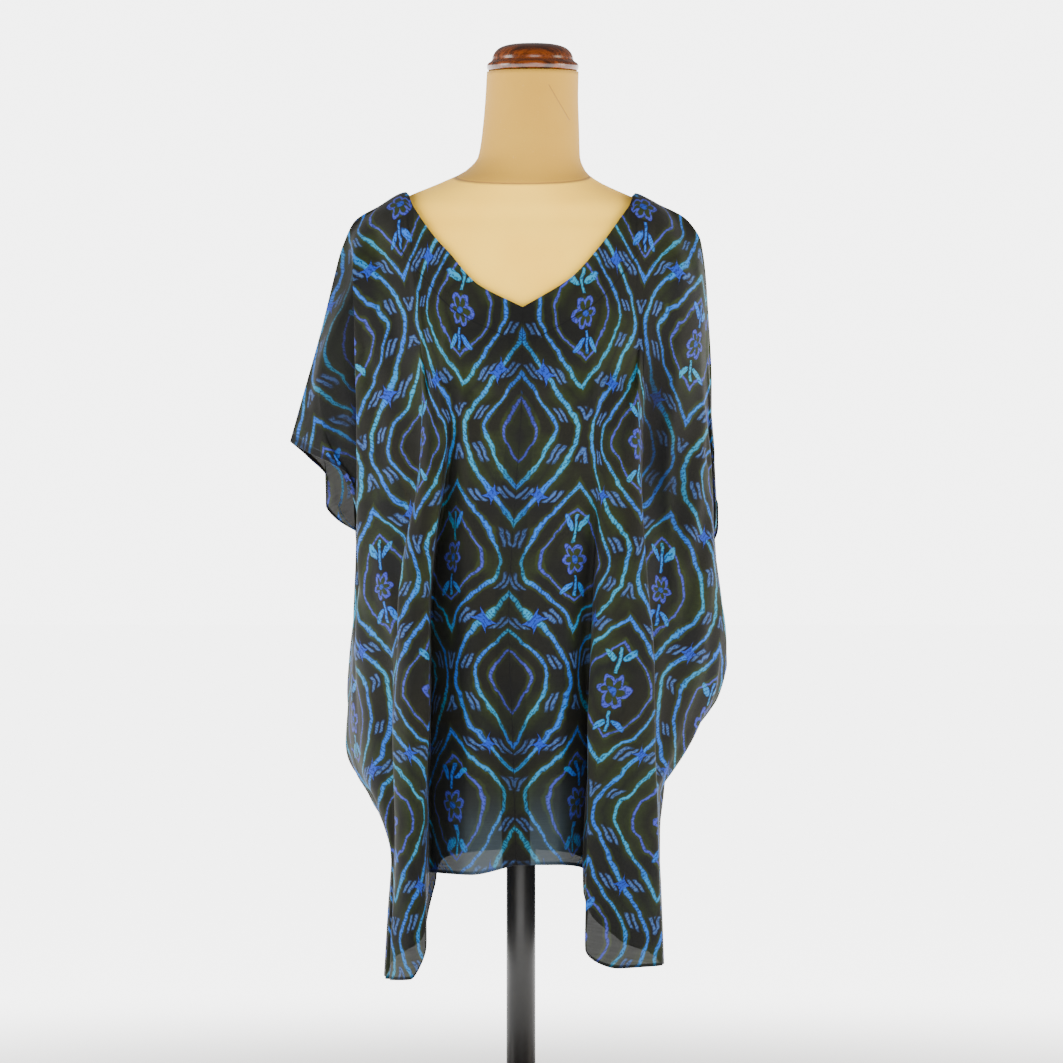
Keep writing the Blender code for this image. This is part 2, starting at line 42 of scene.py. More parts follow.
# Sections of the padded form.
# height, middle (X), half width, front, back, squareness
formSections = [
    (405, 0, 159, 103, 117, 2.2),
    (440, 0, 158, 103, 116, 2.2),
    (480, 0, 148, 99, 109, 2.2),
    (520, 0, 134, 94, 98, 2.2),
    (560, 0, 122, 88, 87, 2.2),
    (600, 0, 118, 86, 81, 2.2),
    (640, 0, 124, 92, 82, 2.2),
    (680, 0, 134, 104, 88, 2.2),
    (720, 0, 145, 119, 95, 2.2),
    (760, 0, 152, 128, 100, 2.3),
    (800, 0, 156, 121, 104, 2.4),
    (840, 0, 162, 108, 105, 2.5),
    (880, 0, 170, 95, 102, 2.5),
    (920, 0, 175, 84, 95, 2.4),
    (945, 0, 175, 76, 86, 2.3),
    (958, -1, 169, 71, 81, 2.2),
    (972, -1, 149, 67, 76, 2.2),
    (986, -2, 118, 62, 71, 2.1),
    (1000, 0, 86, 58, 66, 2.0),
    (1012, 5, 66, 55, 61, 2.0),
    (1028, 9, 56, 54, 56, 2.0),
    (1060, 11, 53, 55, 51, 2.0),
    (1095, 12, 51, 56, 47, 2.0),
    (1121, 13, 50.5, 56, 45, 2.0),
]

# The shoulder line of each side, from the neck point to the sleeve's tip.
# across (X), height
shoulderLeft = [(-128, 986), (-161, 971), (-183, 957), (-192, 940), (-200, 918), (-211, 871)]
shoulderLeft += [(-225, 818), (-240, 765), (-254, 715)]
shoulderRight = [(127, 985), (148, 976), (177, 963), (190, 950), (198, 935), (203, 897)]
shoulderRight += [(207, 844), (210, 778), (210, 699)]

# How round the fold on the shoulder line is, at each distance from the form's axis.
# distance, radius
foldRound = [(100, 34), (165, 34), (190, 24), (205, 12), (260, 9)]

# The side seams, from the underarm to the hem's corner.
# height, across (X), depth (Y)
seamLeft = [
    (614, -179, -2), (560, -182, 2), (514, -185, 4), (462, -188, 4), (420, -191, 4),
    (382, -193, 0), (369, -191, -5), (356, -185, -14), (343, -175, -26),
]
seamLeft += [(316, -161, -42), (290, -144, -56), (268, -141, -64), (205, -145, -80), (133, -149, -92)]
seamRight = [
    (596, 206, -4), (554, 216, 0), (514, 222, 4), (488, 226, 6), (470, 227, 6), (448, 221, 4),
    (422, 206, 0), (396, 190, -10),
]
seamRight += [
    (369, 174, -26), (343, 158, -46), (328, 151, -58), (296, 150, -66), (230, 153, -80), (146, 156, -92),
]

# The armhole's free edges, from the sleeve's tip to the underarm.
# height, across (X), depth (Y)
armholeEdges = {
    "front_left": [
        (715, -254, 0), (702, -232, -20), (690, -206, -33), (674, -186, -34), (645, -178, -20),
    ],
    "back_left": [(715, -254, 0), (697, -234, 24), (672, -214, 38), (648, -216, 38), (630, -204, 24)],
    "front_right": [(699, 210, 0), (674, 212, -14), (648, 213, -19), (622, 212, -15), (606, 208, -8)],
    "back_right": [(699, 210, 0), (676, 213, 14), (648, 216, 22), (620, 216, 18), (604, 211, 8)],
}

# Folds of each panel, from the centre seam outwards, without the outer edge.
# Each row is one fold line: height, across (X), depth (Y), from top to hem. Depth 0 is laid on the form.
frontCentre = [
    (859, 2, 0), (760, 1, -133), (640, -7, -138), (520, -13, -141), (400, -9, -144),
    (256, -5, -147),
]
backCentre = [(957, 3, 0), (840, 2, 110), (700, 0, 120), (560, -3, 128), (420, -2, 134), (262, 0, 138)]

frontLeft = {
    "centre seam": frontCentre,
    "breast": [
        (886, -49, 0), (760, -50, -132), (640, -52, -144), (520, -54, -152), (400, -54, -158),
        (246, -53, -162),
    ],
    "recess": [
        (918, -77, 0), (760, -71, -126), (674, -79, -114), (600, -91, -104), (520, -97, -101),
        (400, -98, -100), (246, -99, -98),
    ],
    "flute right": [
        (933, -91, 0), (760, -82, -127), (674, -84, -136), (600, -95, -148), (520, -100, -156),
        (400, -100, -162), (320, -104, -164), (166, -103, -162),
    ],
    "flute front": [
        (953, -106, 0), (760, -94, -124), (674, -99, -139), (600, -110, -158), (520, -116, -168),
        (400, -118, -175), (270, -120, -177), (134, -118, -172),
    ],
    "flute left": [
        (970, -117, 0), (930, -116, 0), (860, -109, 0), (760, -102, -118), (670, -112, -131),
        (600, -123, -147), (519, -132, -153), (392, -138, -155), (255, -138, -153),
        (132, -142, -148),
    ],
    "flute turn": [
        (986, -128, 0), (930, -126, 0), (860, -118, 0), (760, -108, -108), (670, -111, -110),
        (600, -121, -118), (519, -130, -122), (392, -136, -124), (255, -137, -126),
        (132, -140, -130),
    ],
    "side": [
        (971, -161, 0), (900, -155, -60), (760, -150, -84), (640, -155, -92), (520, -158, -96),
        (400, -161, -101), (316, -148, -116), (250, -139, -122), (200, -141, -126),
        (132, -146, -128),
    ],
    "fold edge": [
        (950, -188, 0), (900, -184, -58), (760, -181, -66), (640, -179, -68), (520, -180, -66),
        (400, -181, -66), (356, -176, -74), (316, -154, -94), (260, -140, -108), (200, -142, -114),
        (132, -147, -118),
    ],
    "under fold": [
        (927, -197, 0), (900, -177, -42), (760, -168, -44), (640, -168, -44), (560, -174, -40),
        (470, -182, -36), (400, -186, -34), (356, -179, -48), (316, -156, -74), (260, -141, -92),
        (200, -143, -102), (132, -148, -110),
    ],
    "sleeve": [
        (818, -225, 0), (790, -224, -24), (740, -217, -30), (690, -199, -32), (640, -180, -28),
        (560, -181, -22), (470, -186, -16), (400, -190, -14), (356, -182, -32), (316, -158, -58),
        (260, -142, -78), (200, -144, -92), (133, -148, -100),
    ],
}
frontRight = {
    "centre seam": frontCentre,
    "breast": [
        (892, 55, 0), (760, 57, -132), (640, 54, -144), (520, 50, -149), (440, 46, -147),
        (400, 44, -146), (256, 38, -146),
    ],
    "valley": [
        (919, 80, 0), (760, 80, -127), (640, 79, -136), (520, 74, -134), (440, 73, -120),
        (400, 73, -110), (249, 69, -100),
    ],
    "flute left": [
        (934, 92, 0), (760, 90, -124), (640, 88, -142), (520, 81, -152), (440, 75, -158),
        (400, 73, -162), (250, 71, -168), (165, 70, -168),
    ],
    "flute front": [
        (957, 108, 0), (760, 107, -118), (640, 109, -144), (520, 111, -166), (400, 108, -176),
        (250, 105, -180), (146, 104, -176),
    ],
    "flute right": [
        (971, 118, 0), (930, 120, 0), (860, 122, 0), (760, 126, -111), (677, 130, -123),
        (578, 137, -145), (486, 143, -155), (321, 147, -159), (148, 153, -152),
    ],
    "flute turn": [
        (985, 127, 0), (930, 130, 0), (860, 131, 0), (760, 131, -92), (690, 131, -94),
        (620, 133, -98), (540, 137, -110), (450, 142, -120), (321, 144, -132), (147, 151, -136),
    ],
    "recess": [
        (976, 148, 0), (900, 147, -66), (760, 144, -80), (690, 143, -76), (629, 147, -76),
        (540, 153, -88), (450, 156, -98), (328, 145, -118), (250, 146, -124), (147, 152, -128),
    ],
    "side": [
        (963, 177, 0), (900, 174, -58), (757, 169, -68), (684, 176, -66), (618, 186, -64),
        (540, 196, -60), (480, 201, -58), (430, 188, -68), (370, 163, -92), (328, 147, -106),
        (250, 148, -114), (147, 153, -120),
    ],
    "fold edge": [
        (935, 198, 0), (897, 195, -38), (778, 198, -42), (690, 203, -44), (600, 211, -40),
        (500, 219, -36), (450, 215, -40), (400, 192, -58), (360, 167, -82), (328, 149, -98),
        (250, 150, -108), (147, 154, -114),
    ],
    "sleeve": [
        (866, 205, 0), (840, 205, -18), (778, 206, -23), (690, 209, -28), (600, 214, -24),
        (540, 220, -20), (488, 226, -16), (465, 225, -16), (445, 218, -20), (400, 191, -36),
        (365, 170, -56), (328, 150, -78), (250, 151, -96), (147, 155, -103),
    ],
}
backLeft = {
    "centre seam": backCentre,
    "blade": [
        (957, -48, 0), (840, -50, 109), (700, -52, 122), (560, -54, 136), (420, -54, 146),
        (258, -52, 150),
    ],
    "valley": [
        (960, -68, 0), (840, -74, 104), (700, -78, 108), (560, -82, 104), (420, -84, 102),
        (254, -84, 100),
    ],
    "flute inner": [
        (966, -88, 0), (840, -90, 98), (700, -92, 116), (560, -90, 134), (420, -90, 150),
        (300, -98, 154), (196, -102, 152),
    ],
    "flute back": [
        (974, -106, 0), (840, -104, 93), (700, -108, 118), (560, -110, 146), (420, -110, 162),
        (300, -112, 160), (162, -110, 154),
    ],
    "neck end": [
        (980, -117, 0), (840, -112, 89), (700, -116, 114), (560, -119, 141), (420, -121, 156),
        (300, -122, 154), (152, -120, 146),
    ],
    "flute outer": [
        (986, -128, 0), (930, -126, 0), (840, -120, 84), (700, -124, 110), (560, -128, 134),
        (420, -132, 148), (300, -131, 144), (147, -132, 134),
    ],
    "side": [
        (971, -161, 0), (900, -153, 70), (760, -146, 96), (640, -148, 100), (520, -152, 104),
        (420, -156, 106), (330, -146, 98), (260, -137, 88), (144, -140, 78),
    ],
    "fold edge": [
        (950, -188, 0), (900, -182, 54), (760, -176, 78), (640, -173, 86), (520, -175, 88),
        (420, -178, 84), (356, -170, 70), (300, -146, 50), (250, -138, 38), (142, -143, 26),
    ],
    "under fold": [
        (927, -197, 0), (900, -188, 40), (760, -190, 56), (650, -186, 64), (607, -176, 62),
        (520, -181, 62), (420, -187, 56), (356, -175, 40), (300, -147, 14), (250, -139, -4),
        (141, -145, -24),
    ],
    "sleeve": [
        (818, -225, 0), (790, -224, 24), (740, -218, 38), (690, -208, 46), (650, -200, 42),
        (610, -179, 34), (560, -180, 32), (470, -187, 30), (400, -190, 26), (356, -180, 10),
        (300, -148, -26), (250, -140, -44), (135, -147, -62),
    ],
}
backRight = {
    "centre seam": backCentre,
    "blade": [
        (958, 52, 0), (840, 53, 109), (700, 55, 124), (560, 56, 140), (420, 58, 150),
        (257, 50, 154),
    ],
    "valley": [
        (961, 74, 0), (840, 78, 103), (700, 80, 110), (560, 78, 110), (420, 74, 100),
        (254, 68, 96),
    ],
    "flute inner": [
        (968, 90, 0), (840, 92, 97), (700, 95, 114), (560, 94, 132), (420, 88, 148),
        (300, 80, 152), (192, 76, 150),
    ],
    "flute back": [
        (974, 107, 0), (840, 106, 92), (700, 110, 116), (560, 114, 142), (420, 112, 158),
        (300, 108, 158), (164, 104, 152),
    ],
    "neck end": [
        (980, 117, 0), (840, 114, 88), (700, 119, 111), (560, 126, 134), (420, 126, 148),
        (300, 124, 146), (154, 120, 140),
    ],
    "flute outer": [
        (985, 127, 0), (930, 127, 0), (840, 122, 83), (700, 128, 104), (560, 136, 124),
        (420, 138, 134), (300, 134, 130), (150, 134, 122),
    ],
    "side": [
        (976, 148, 0), (900, 146, 72), (760, 146, 98), (640, 152, 104), (520, 160, 108),
        (420, 158, 108), (340, 144, 92), (280, 139, 84), (148, 146, 74),
    ],
    "fold edge": [
        (963, 177, 0), (900, 174, 56), (760, 172, 84), (640, 184, 92), (540, 196, 92),
        (460, 198, 84), (400, 178, 64), (345, 152, 42), (290, 143, 30), (147, 150, 22),
    ],
    "under fold": [
        (935, 198, 0), (897, 192, 38), (760, 194, 52), (640, 203, 60), (540, 212, 58),
        (470, 216, 50), (440, 207, 44), (400, 186, 30), (345, 154, 0), (290, 145, -12),
        (146, 152, -28),
    ],
    "sleeve": [
        (866, 205, 0), (840, 205, 20), (760, 208, 28), (680, 212, 32), (600, 214, 32),
        (540, 220, 30), (480, 226, 28), (445, 217, 24), (400, 189, 10), (345, 156, -26),
        (290, 147, -44), (145, 154, -64),
    ],
}

# The fold line that starts at the neck point, where the neckline meets the shoulder line.
neckFold = {
    "front_left": "flute turn",
    "front_right": "flute turn",
    "back_left": "flute outer",
    "back_right": "flute outer",
}

# Turned pieces: radius and height down their outer side, about their own axis.
capProfile = [
    (0, 1152), (18, 1151.6), (28, 1150.2), (36, 1147.4), (41.5, 1142.6), (44.3, 1137),
    (45, 1133.4), (46.6, 1131.8), (49.4, 1129.8), (50.6, 1126.8), (50, 1123.6), (47.6, 1121.6),
    (45, 1121.3), (0, 1121.3),
]
baseProfile = [
    (0, 22), (40, 22), (96, 20.6), (132, 18.4), (146, 15.6), (153, 11), (155, 6.4), (153.4, 2),
    (151, 0), (0, 0),
]

# What a user would change on the cloth's shape.
clothShape = {
    "neckClear": 4.4,  # millimetres from the form to the cloth over the facing
    "shoulderClear": 1.4,  # the same on the shoulders
    "underarm": 0.28,  # share of the way down where the armhole ends
    "stepsAcross": 11,  # mesh columns from one fold to the next
    "stepsDown": 150,  # mesh rows
    "hemRoll": 0.9,  # radius of the rolled hems, in millimetres
    "allowance": 16,  # width of the pressed-open seam allowance, in millimetres
    "facingDeep": 52,  # from the neckline down to the facing's lower edge, in millimetres
    "ripple": 1.2,  # height of the small ripples, in millimetres
    "creaseLift": 1.4,  # how strongly the creases below are taken
}


farAway = 500.0  # a distance in millimetres that is far from every edge


def cubic(knots, values, at):
    # A smooth curve through the values that doesn't swing past them.
    x = np.asarray(knots, float)
    y = np.asarray(values, float)
    step = np.diff(x)
    slope = np.diff(y) / step
    tangent = np.zeros(len(y))
    both = slope[:-1] * slope[1:]
    total = slope[:-1] + slope[1:]
    tangent[1:-1] = np.where(both > 0, 2 * both / np.where(total == 0, 1, total), 0)
    tangent[0] = slope[0]
    tangent[-1] = slope[-1]
    at = np.clip(np.asarray(at, float), x[0], x[-1])
    k = np.clip(np.searchsorted(x, at, side="right") - 1, 0, len(x) - 2)
    s = (at - x[k]) / step[k]
    rise = y[k] * (1 + 2 * s) * (1 - s) ** 2 + y[k + 1] * s * s * (3 - 2 * s)
    return rise + step[k] * (tangent[k] * s * (1 - s) ** 2 + tangent[k + 1] * s * s * (s - 1))


def formAt(height):
    table = np.array(formSections, float)
    return [cubic(table[:, 0], table[:, k], height) for k in range(1, 6)]


def formDepth(across, height, side, clear):
    # How far out the form's surface lies, with the clearance on it.
    middle, half, front, back, square = formAt(height - clear)
    depth = np.where(side < 0, front, back) + clear
    share = np.abs(across - middle) / (half + clear)
    reach = depth * np.maximum(0, 1 - share**square) ** (1 / square)
    beside = (share < 1) & (height > formSections[0][0] - 5)
    return np.where(beside, reach, -1000)


def clearance(across):
    far = np.clip((np.abs(across) - 138) / 30, 0, 1)
    return clothShape["neckClear"] + (clothShape["shoulderClear"] - clothShape["neckClear"]) * far


def unit(vector):
    return vector / np.maximum(np.linalg.norm(vector, axis=-1, keepdims=True), 1e-9)


def summed(lengths):
    return np.concatenate([np.zeros_like(lengths[:1]), np.cumsum(lengths, axis=0)])


def runAlong(points):
    # The length from the first point to each of them, for one line or for every column of a grid.
    return summed(np.linalg.norm(np.diff(points, axis=0), axis=-1))


def spaced(line, shares):
    run = runAlong(line)
    at = np.asarray(shares) * run[-1]
    return np.stack([np.interp(at, run, line[:, k]) for k in range(3)], axis=1)


def curveThrough(points, count=900):
    p = np.array([(x, y, z) for z, x, y in points], float)
    run = runAlong(p)
    at = np.linspace(0, run[-1], count)
    return np.stack([cubic(run, p[:, k], at) for k in range(3)], axis=1)


def shoulderCurve(sideTable):
    # The shoulder line, lifted where it would cut into the form's top.
    table = np.array(sideTable, float)
    run = runAlong(table)
    at = np.linspace(0, run[-1], 1600)
    across = cubic(run, table[:, 0], at)
    height = cubic(run, table[:, 1], at)
    heights = np.linspace(940, 1010, 400)
    middle, half = formAt(heights)[:2]
    edge = np.sign(across[0]) * middle + half + clearance(across[0])
    top = np.interp(-np.abs(across), -edge, heights) + clearance(across)
    return across, np.where(np.abs(across) < 172, np.maximum(height, top), height)


def foldColumn(rows, side, ridge, shares):
    # One fold line from top to hem. It is rounded where it starts on the shoulder line.
    table = np.array(rows, float)[::-1]
    onRidge = np.abs(rows[0][1]) > 120
    top = rows[0][0]
    if onRidge:
        near = np.argmin(np.abs(ridge[0] - rows[0][1]) + np.abs(ridge[1] - top))
        top = ridge[1][near]
        table[-1] = (top, ridge[0][near], 0)
    height = top + (table[0, 0] - top) * np.linspace(0, 1, 1500) ** 2
    across = cubic(table[:, 0], table[:, 1], height)
    depth = side * cubic(table[:, 0], table[:, 2], height)
    if onRidge:
        gap = np.hypot(across[:, None] - ridge[0][None], height[:, None] - ridge[1][None]).min(axis=1)
        rounding = np.array(foldRound, float)
        radius = np.interp(np.abs(across), rounding[:, 0], rounding[:, 1])
        share = 1 - np.minimum(gap / radius, 1)
        depth = depth * np.sqrt(np.maximum(0, 1 - share * share))
    depth = np.maximum(depth, formDepth(across, height, side, clearance(across)))
    if onRidge:
        depth[0] = 0
    return spaced(np.stack([across, side * depth, height], axis=1), shares)


def outerEdge(panelName, seam, shares):
    underarm = clothShape["underarm"]
    upper = shares[shares < underarm] / underarm
    lower = (shares[shares >= underarm] - underarm) / (1 - underarm)
    armhole = curveThrough(armholeEdges[panelName] + [seam[0]])
    return np.concatenate([spaced(armhole, upper), spaced(curveThrough(seam), lower)])


def relaxed(flat, grid, turns, stretch):
    # Moves the flat places until neighbours are as far apart as on the draped cloth. The centre seam stays.
    rows, cols = flat.shape[:2]
    index = np.arange(rows * cols).reshape(rows, cols)
    links = [
        (index[:, :-1], index[:, 1:]), (index[:-1], index[1:]),
        (index[:-1, :-1], index[1:, 1:]), (index[1:, :-1], index[:-1, 1:]),
    ]
    one, two = [np.concatenate([link[end].ravel() for link in links]) for end in (0, 1)]
    points, place = grid.reshape(-1, 3), flat.reshape(-1, 2).copy()
    wanted = np.linalg.norm(points[two] - points[one], axis=1) * stretch
    count = np.bincount(one, minlength=len(place)) + np.bincount(two, minlength=len(place))
    seam = index[:, 0]
    fixed = place[seam].copy()
    for turn in range(turns):
        way = place[two] - place[one]
        length = np.maximum(np.linalg.norm(way, axis=1), 0.01)
        push = way * (0.5 * (length - wanted) / length)[:, None]
        for axis in range(2):
            move = np.bincount(one, push[:, axis], len(place)) - np.bincount(two, push[:, axis], len(place))
            place[:, axis] += 1.5 * move / count
        place[seam] = fixed
    return place.reshape(flat.shape)


def everyFew(count, stride):
    return np.unique(np.round(np.linspace(0, count - 1, (count - 1) // stride + 1)).astype(int))


def flatCut(grid, flat):
    # The draped panel laid out flat: first on every eleventh point or so, last on all of them.
    rows, cols = grid.shape[:2]
    for strideRows, strideCols, turns in ((14, 11, 400), (7, 5, 250), (3, 3, 150), (1, 1, 120)):
        r, c = everyFew(rows, strideRows), everyFew(cols, strideCols)
        place = flat[np.ix_(r, c)]
        moved = relaxed(place, grid[np.ix_(r, c)], turns, 1 + 0.004 * (strideCols - 1)) - place
        change = np.empty(flat.shape)
        for axis in range(2):
            wide = np.array([np.interp(np.arange(cols), c, line) for line in moved[..., axis]])
            change[..., axis] = np.array([np.interp(np.arange(rows), r, line) for line in wide.T]).T
        flat = flat + change
    return flat


# Painted shade, darkening the colour in the deep folds: fold, columns before and after it, top and bottom
# in mm, strength.
deepShade = {
    "front_left": [("under fold", 9, 15, -20, 330, 0.92), ("recess", 7, 5, 200, 740, 0.6)],
    "front_right": [("recess", 9, 13, 170, 420, 0.88), ("valley", 5, 8, 260, 720, 0.6)],
}


def foldShade(panelName, folds, run):
    # Painted shade of the deep folds, strongest on the fold and fading out sideways and at its top and
    # bottom.
    shade = np.zeros(run.shape)
    column = np.arange(run.shape[1])[None]
    for foldName, before, after, top, bottom, strength in deepShade.get(panelName, []):
        middle = list(folds).index(foldName) * clothShape["stepsAcross"]
        spread = np.where(column < middle, before, after)
        fade = np.clip((run - top) / 60, 0, 1) * np.clip((bottom - run) / 90, 0, 1)
        shade = np.maximum(shade, strength * fade * np.exp(-(((column - middle) / spread) ** 2)))
    return shade


def panelRows():
    # The share of the way down at every row. They stand closer together at the top.
    fine = np.linspace(0, 1, clothShape["stepsDown"])
    close = [0, 0.001, 0.003, 0.006, 0.01, 0.015, clothShape["underarm"]]
    return np.sort(np.concatenate([fine[fine > 0.02], close]))


def panelGrid(panelName, folds, shoulder, seam):
    # The panel as a grid of points, rows down and columns outwards, with its place on the flat cloth.
    side = -1 if panelName.startswith("front") else 1
    stepsAcross = clothShape["stepsAcross"]
    ridge = shoulderCurve(shoulder)
    shares = panelRows()
    lines = [foldColumn(rows, side, ridge, shares) for rows in folds.values()]
    lines = np.array(lines + [outerEdge(panelName, seam, shares)])
    lineAt = summed(np.linalg.norm(np.diff(lines, axis=0), axis=2).mean(axis=1))
    steps = np.arange((len(lineAt) - 1) * stepsAcross + 1) / stepsAcross
    columnAt = np.interp(steps, np.arange(len(lineAt)), lineAt)
    grid = np.stack([
        np.stack([cubic(lineAt, lines[:, row, axis], columnAt) for axis in range(3)], axis=1)
        for row in range(len(shares))
    ])
    # From the neck point outwards, the top row lies on the shoulder line.
    neckPoint = list(folds).index(neckFold[panelName]) * stepsAcross
    for col in range(neckPoint, len(columnAt)):
        near = np.argmin(np.hypot(ridge[0] - grid[0, col, 0], ridge[1] - grid[0, col, 2]))
        grid[0, col] = (ridge[0][near], 0, ridge[1][near])
    run = runAlong(grid)
    across = summed(np.linalg.norm(np.diff(grid, axis=1), axis=2).mean(axis=0))
    drop = np.where(np.arange(len(columnAt)) < neckPoint, grid[0, neckPoint, 2] - grid[0, :, 2], 0)
    flat = flatCut(grid, np.stack([np.broadcast_to(across, run.shape), run + drop], axis=2))
    onArmhole = (shares <= clothShape["underarm"] + 0.01)[:, None]
    toArm = np.where(onArmhole, (columnAt[-1] - columnAt)[None], farAway)
    toNeck = np.full(run.shape, farAway)
    if side < 0:
        away = grid[:, : neckPoint + 6, None] - grid[None, None, 0, : neckPoint + 1]
        toNeck[:, : neckPoint + 6] = np.linalg.norm(away, axis=3).min(axis=2)
    return {
        "grid": grid, "flat": flat, "neckPoint": neckPoint, "side": side, "shares": shares, "run": run,
        "edge": np.minimum(run[-1] - run, toArm),
        # tone: the distance to the neckline, and the painted shade of the deep folds.
        "tone": np.stack([toNeck, foldShade(panelName, folds, run) * 1000], axis=2),
    }


def facingOut(grid, side):
    # The grid's normals, turned away from the form.
    normal = unit(np.cross(np.gradient(grid, axis=0), np.gradient(grid, axis=1)))
    return normal if (normal[..., 1] * side).mean() > 0 else -normal


# Creases listed one by one: from (across, down) to (across, down) on the flat cloth, half width and height,
# all in millimetres. A positive height is a ridge and a negative one is a trough.
creases = {
    "front_left": [
        (30, 230, 16, 420, 9, 1.6), (52, 150, 60, 330, 12, -2.2), (20, 480, 34, 700, 10, 1.8),
        (96, 120, 118, 300, 9, 1.8), (120, 250, 150, 560, 7, -2.0), (150, 60, 158, 210, 8, 1.6),
        (176, 40, 205, 190, 10, -2.4), (214, 260, 205, 520, 9, 2.2), (240, 90, 238, 330, 8, -2.0),
        (262, 360, 250, 610, 11, 2.4), (300, 120, 330, 260, 9, 2.0), (330, 300, 300, 480, 10, -2.6),
        (352, 60, 372, 190, 8, -1.8), (380, 330, 352, 560, 12, 2.4), (68, 560, 74, 720, 8, -1.6),
        (160, 600, 172, 800, 9, 1.6), (228, 640, 236, 800, 8, -1.6), (8, 380, 62, 446, 7, 0.9),
        (300, 420, 322, 700, 15, 2.6), (352, 430, 340, 640, 13, -2.6), (262, 520, 280, 780, 14, -2.4),
    ],
    "front_right": [
        (26, 180, 40, 360, 10, -1.8), (48, 300, 34, 560, 8, 1.6), (76, 120, 96, 330, 10, 2.0),
        (100, 380, 92, 640, 9, -2.2), (128, 90, 150, 280, 8, -2.0), (146, 330, 160, 600, 7, 1.8),
        (178, 60, 196, 300, 9, 1.8), (206, 200, 232, 420, 10, -2.4), (232, 120, 262, 330, 8, 2.0),
        (262, 380, 250, 560, 11, -2.4), (286, 160, 300, 380, 9, 2.2), (318, 260, 300, 470, 10, -2.0),
        (196, 520, 204, 760, 8, -1.6), (120, 640, 130, 800, 9, 1.8), (14, 600, 24, 720, 8, 1.4),
        (60, 520, 8, 560, 7, 0.8), (340, 360, 322, 560, 12, 2.2),
        (246, 225, 300, 486, 6, 2.2), (320, 420, 306, 720, 15, 2.6), (275, 560, 285, 780, 13, -2.4),
    ],
    "back_left": [
        (20, 120, 34, 420, 12, -2.2), (46, 260, 40, 640, 9, 2.0), (78, 90, 92, 330, 9, 1.8),
        (112, 300, 120, 640, 8, -2.0), (150, 80, 176, 260, 10, 2.2), (196, 160, 210, 460, 9, -2.4),
        (236, 110, 250, 380, 10, 2.2), (270, 300, 256, 560, 11, -2.6), (306, 140, 330, 320, 9, 2.2),
        (338, 380, 320, 610, 10, 2.0), (24, 560, 30, 710, 8, 1.6), (180, 520, 190, 700, 9, -1.8),
        (300, 400, 330, 720, 16, 3.0), (365, 430, 388, 700, 14, -2.8), (420, 560, 440, 780, 13, 2.8),
    ],
    "back_right": [
        (28, 160, 22, 380, 11, 2.0), (52, 110, 66, 520, 10, -2.2), (84, 340, 78, 680, 8, 1.8),
        (108, 100, 130, 300, 9, -2.0), (142, 260, 150, 600, 8, 2.0), (180, 90, 198, 330, 10, -2.4),
        (214, 220, 226, 520, 9, 2.2), (250, 140, 268, 360, 9, -2.2), (282, 330, 270, 560, 11, 2.4),
        (312, 200, 322, 420, 9, -2.0), (20, 520, 34, 700, 9, -1.6), (196, 560, 208, 730, 8, 1.6),
        (305, 420, 320, 740, 16, -3.0), (362, 400, 380, 690, 14, 2.8), (415, 540, 436, 770, 13, 2.8),
    ],
}


def creased(panelName, panel):
    # Moves the points along the normals by the creases and small ripples.
    grid, flat, side, run = panel["grid"], panel["flat"], panel["side"], panel["run"]
    normal = facingOut(grid, side)
    across, down = flat[..., 0], flat[..., 1]
    lift = np.zeros(across.shape)
    for x0, y0, x1, y1, half, height in creases[panelName]:
        length = math.hypot(x1 - x0, y1 - y0)
        along = ((across - x0) * (x1 - x0) + (down - y0) * (y1 - y0)) / length**2
        off = ((across - x0) * (y1 - y0) - (down - y0) * (x1 - x0)) / length
        bend = 3.0 * np.sin(along * 4 + x0)
        taper = np.sin(np.pi * np.clip(along, 0, 1)) ** 0.8
        lift += clothShape["creaseLift"] * height * taper * np.exp(-(((off + bend) / half) ** 2))
    seed = len(panelName) + (3 if "left" in panelName else 0)
    ripple = np.sin(across / 13 + 0.7 * np.sin(down / 57 + seed)) * np.sin(down / 91 + seed + across / 140)
    ripple += 0.6 * np.sin(across / 7.3 + seed + 0.9 * np.sin(down / 33)) * np.sin(down / 61 + across / 77)
    lift += clothShape["ripple"] * ripple * np.clip(down / 260, 0.15, 1)
    columns = np.arange(across.shape[1])
    if side < 0:
        # The facing's lower edge presses through as a low ridge.
        inFacing = np.clip((panel["neckPoint"] - columns) / 6, 0, 1)
        lift += inFacing * 0.55 * np.exp(-(((run - clothShape["facingDeep"]) / 2.6) ** 2))
    fade = np.clip(columns / 8, 0, 1) * np.clip((columns[-1] - columns) / 8, 0, 1)
    moved = grid + normal * (lift * fade * np.clip(run / 30, 0, 1))[..., None]
    inner = formDepth(moved[..., 0], moved[..., 2], side, clearance(moved[..., 0]))
    moved[1:, :, 1] = side * np.maximum(side * moved[1:, :, 1], inner[1:])
    return moved


def rollStrip(points, flat, outward, inward, turns=0.85):
    # A narrow rolled edge: the cloth turns round to its inner side.
    angles = np.linspace(0, 2 * math.pi * turns, 8)
    radius = clothShape["hemRoll"]
    grid = np.stack([
        points + radius * math.sin(a) * outward + radius * (1 - math.cos(a)) * inward for a in angles
    ])
    place = np.stack([flat + np.array([0.0, radius * a]) for a in angles])
    return grid, place


